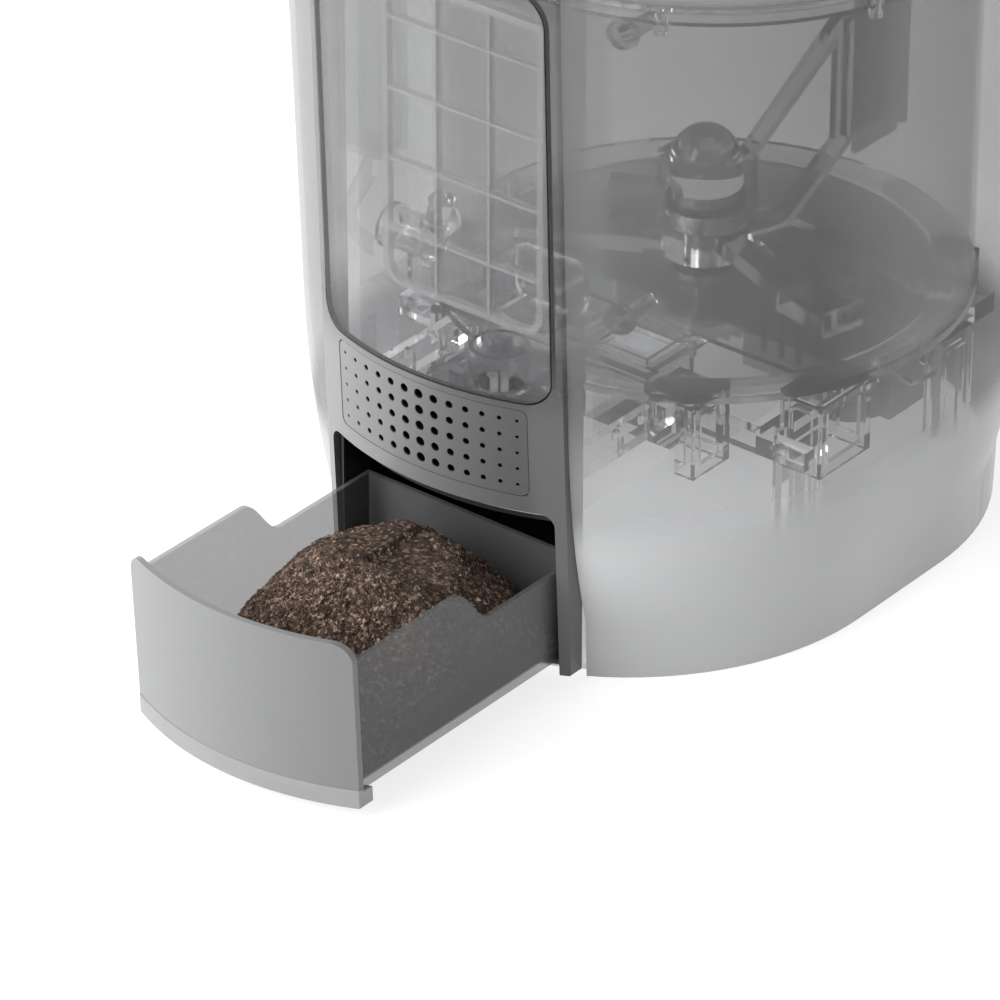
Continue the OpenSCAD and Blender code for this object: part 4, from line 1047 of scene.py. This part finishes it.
        points = (shape + np.stack([x, y, z], -1)[:, None]).reshape(-1, 3)
        faces = (tris[None] + len(corners) * np.arange(count)[:, None, None]).reshape(-1, 3)
        piece = mesh_piece("compost_crumbs", points, faces, smooth=False)
        return finish_piece(piece, Finish.CRUMBS, Body.DRAWER)


@dataclass
class Drawer(SubAssembly):
    """The pull-out drawer: tray, curved front, grip lip and what lies in it."""

    heap: Heap = field(default_factory=Heap)

    FINISHES = {
        Finish.TRAY: ("drawer_tray",),
        Finish.DRAWER_FRONT: ("drawer_front",),
        Finish.LIP: ("drawer_lip",),
    }

    def build(self) -> list[Piece]:
        """Make the heap and its crumbs."""
        return [self.heap.build(), self.heap.build_crumbs()]


@dataclass
class Housing(SubAssembly):
    """Shell, front panel, window, grilles and base.

    Attributes:
        face: the front's face.
        shade_sheet_turn: half angle of the near-black sheet of painted shade behind the vents.
        shade_sheet_low: z of its lower edge.
        shade_sheet_high: z of its upper edge.
        shade_sheet_depth: its depth behind the face.
        shade_sheet_thick: its thickness.
        shade_sheet_grid: number of rows and columns of points on each of its sides.
    """

    face: RoundFace = RoundFace(centre=(0.0, -0.061, 0.144), radius=0.1573, lean=0.045)
    shade_sheet_turn: float = math.radians(21.5)
    shade_sheet_low: float = 0.1075
    shade_sheet_high: float = 0.1495
    shade_sheet_depth: float = 0.0033
    shade_sheet_thick: float = 0.0005
    shade_sheet_grid: tuple[int, int] = (12, 60)

    FINISHES = {
        Finish.HOUSING: ("outer_shell",),
        Finish.PEARL: ("base_pan",),
        Finish.RUBBER: ("foot_ring", "window_seal"),
        Finish.FRONT: ("front_panel",),
        Finish.WINDOW: ("window_panel",),
        Finish.GRILLE: ("vent_grille",),
        Finish.REAR: ("rear_grille",),
        Finish.BLACK: ("power_inlet", "drawer_runners"),
        Finish.BAY: ("drawer_bay",),
    }

    def build(self) -> list[Piece]:
        """Make the near-black sheet of painted shade behind the vents: a thin curved strip that follows the front's
        leaning round face.
        """
        rows, cols = self.shade_sheet_grid
        count = rows * cols
        angle = np.linspace(-self.shade_sheet_turn, self.shade_sheet_turn, cols)[None, :]
        z = np.linspace(self.shade_sheet_low, self.shade_sheet_high, rows)[:, None]
        radius = self.face.radius + self.face.lean * (z - self.face.centre[2])
        sides = []
        for depth in (self.shade_sheet_depth, self.shade_sheet_depth + self.shade_sheet_thick):
            x = (radius - depth) * np.sin(angle)
            y = self.face.centre[1] - (radius - depth) * np.cos(angle)
            sides.append(np.stack([x, y, np.repeat(z, cols, axis=1)], axis=-1).reshape(-1, 3))
        front = grid_faces(rows, cols)
        edge = grid_border(rows, cols)
        nxt = np.roll(edge, -1)
        rim = np.stack([edge, nxt, nxt + count, edge + count], axis=-1)
        piece = mesh_piece("vent_shade_sheet", np.concatenate(sides), front, front[:, ::-1] + count, rim)
        outward(piece)
        return [finish_piece(piece, Finish.VENT_SHADE_SHEET, Body.MACHINE)]


class Deck(SubAssembly):
    """Deck, lid, rear cap, control strip and buttons."""

    FINISHES = {
        Finish.DECK: ("top_deck", "rear_cap"),
        Finish.BLACK: ("control_panel",),
        Finish.CHROME: ("hinge_pins",),
        Finish.LID: ("lid",),
        Finish.LINER: ("lid_liner",),
        Finish.BUTTON: ("power_button", "mode_button", "drain_button"),
    }


class Drum(SubAssembly):
    """Drum, its rings, the funnel above it and the outlet below it."""

    FINISHES = {
        Finish.DRUM: ("drum", "feed_funnel"),
        Finish.DRUM_RIM: ("drum_flange", "drum_top_ring"),
        Finish.HEATER: ("heater_plate",),
        Finish.DUCT: ("outlet_collar", "outlet_chute"),
        Finish.ARMS: ("breaker_pins",),
        Finish.STEEL: ("discharge_gate",),
    }


class Agitator(SubAssembly):
    """The stirrer and its gear drive."""

    FINISHES = {
        Finish.CHROME: ("agitator_shaft", "hub_band", "shaft_bearings", "idler_axle", "motor_pinion"),
        Finish.HUB: ("agitator_hub", "hub_dome"),
        Finish.ARMS: ("mixing_arms",),
        Finish.BLADE: ("mixing_blade",),
        Finish.RUBBER: ("shaft_seal",),
        Finish.STEEL: ("gear_plate",),
        Finish.MOTOR: ("gear_motor",),
        Finish.GEAR: ("drive_gear", "idler_gear"),
    }


class Chassis(SubAssembly):
    """Inner frame, brackets, legs, rails and the control box."""

    FINISHES = {
        Finish.STEEL: ("front_rails", "chassis_frame", "chassis_legs", "drum_brackets"),
        Finish.BOARD_BOX: ("control_box",),
    }


class AirPath(SubAssembly):
    """Filter housing, cartridge, ducts and blower."""

    FINISHES = {
        Finish.CHAMBER: ("filter_housing", "return_duct"),
        Finish.GRID: ("filter_grid",),
        Finish.FLEECE: ("filter_cartridge",),
        Finish.DUCT: ("air_port", "air_elbow", "blower_duct"),
        Finish.BLOWER: ("blower_housing",),
        Finish.WHEEL: ("blower_wheel",),
    }


# --- studio ---


@dataclass(frozen=True)
class SoftBox:
    """A square soft box.

    Attributes:
        name: its name.
        place: where it stands.
        aim: the point it faces.
        size: its side.
        power: its power in watts.
    """

    name: str
    place: Vec
    aim: Vec
    size: float
    power: float

    def build(self) -> None:
        """Hang it up."""
        data = bpy.data.lights.new(self.name, "AREA")
        data.size = self.size
        data.energy = self.power
        lamp = bpy.data.objects.new(self.name, data)
        lamp.location = self.place
        x, y, z = np.array(self.place) - np.array(self.aim)
        lamp.rotation_euler = (math.atan2(math.hypot(x, y), z), 0.0, math.atan2(x, -y))
        bpy.context.scene.collection.objects.link(lamp)


@dataclass
class Studio:
    """Camera, floor, world and lamps.

    Attributes:
        eye: the camera's place.
        azimuth: its turn about the upright axis, in degrees.
        elevation: how far it looks down, in degrees.
        lens: focal length in millimetres.
        sensor: sensor width in millimetres.
        half: half the floor's side.
        paint: the floor's grey for light that bounces, and where it is seen.
        glow: its own light where it is seen.
        ambient: light from all round.
        lamps: the soft boxes.
        bounces: number of clear walls that a ray can pass.
    """

    eye: Vec = (1.66984, -2.22816, 1.63024)
    azimuth: float = 38.89
    elevation: float = 30.54
    lens: float = 234.0
    sensor: float = 36.0
    half: float = 8.0
    paint: Span = (0.80, 0.30)
    glow: float = 0.80
    ambient: float = 0.37
    lamps: tuple[SoftBox, ...] = (
        SoftBox("key", (-0.9, -2.2, 1.5), (0.0, -0.1, 0.15), 2.2, 128.0),
        SoftBox("fill", (1.9, -0.6, 1.4), (0.0, 0.0, 0.2), 1.2, 2.0),
    )
    bounces: int = 48

    def camera(self) -> None:
        """Set the camera at the photograph's viewing angle."""
        data = bpy.data.cameras.new("camera")
        data.lens = self.lens
        data.sensor_width = self.sensor
        data.clip_end = 50.0
        eye = bpy.data.objects.new("camera", data)
        eye.location = self.eye
        eye.rotation_euler = (math.radians(90.0 - self.elevation), 0.0, math.radians(self.azimuth))
        bpy.context.scene.collection.objects.link(eye)
        bpy.context.scene.camera = eye

    def floor(self) -> None:
        """A pale floor that shows white to the camera and keeps a soft shadow."""
        points = self.half * np.array([[-1, -1, 0], [1, -1, 0], [1, 1, 0], [-1, 1, 0]], dtype=float)
        piece = mesh_piece("floor", points, np.array([[0, 1, 2, 3]]), smooth=False)
        material = bpy.data.materials.new("pale_floor")
        material.use_nodes = True
        bench = NodeBench(material.node_tree)
        bench.tree.nodes.clear()
        plain, shown = (bench.add("BsdfDiffuse", {"Color": (grey,) * 3}).outputs[0] for grey in self.paint)
        glow = bench.add("Emission", {"Strength": self.glow}).outputs[0]
        both = bench.add("AddShader", {0: shown, 1: glow}).outputs[0]
        mix = bench.add("MixShader", {0: self.seen(bench), 1: plain, 2: both}).outputs[0]
        bench.add("OutputMaterial", {"Surface": mix})
        piece.data.materials.append(material)

    @staticmethod
    def seen(bench: NodeBench) -> Socket:
        """A value of 1 for camera, glossy and transmission rays."""
        path = bench.add("LightPath").outputs
        first = bench.math("MAXIMUM", path["Is Camera Ray"], path["Is Transmission Ray"])
        return bench.math("MAXIMUM", first, path["Is Glossy Ray"])

    def world(self) -> None:
        """Soft grey light from all round, which shows white to the camera."""
        world = bpy.data.worlds.new("studio")
        bpy.context.scene.world = world
        world.use_nodes = True
        bench = NodeBench(world.node_tree)
        strength = bench.ramp(self.seen(bench), self.ambient, 1.0)
        bench.feed(bench.tree.nodes["Background"], {"Color": (1.0, 1.0, 1.0), "Strength": strength})

    def build(self) -> None:
        """Set the whole studio."""
        self.camera()
        self.floor()
        self.world()
        for lamp in self.lamps:
            lamp.build()
        scene = bpy.context.scene
        scene.view_settings.view_transform = "Standard"
        scene.cycles.transparent_max_bounces = self.bounces


def main() -> None:
    """Set the studio, then dress every sub-assembly and build what is added to it."""
    logging.basicConfig(level=logging.INFO, format="%(name)s: %(message)s")
    Studio().build()
    LOG.info("studio set")
    for part in (Housing(), Chassis(), Drum(), Agitator(), AirPath(), Deck(), Drawer()):
        part.dress()
        LOG.info("%s dressed", type(part).__name__)
        for piece in part.build():
            LOG.info("%s: %d points", piece.name, len(piece.data.vertices))


if __name__ == "__main__":
    main()
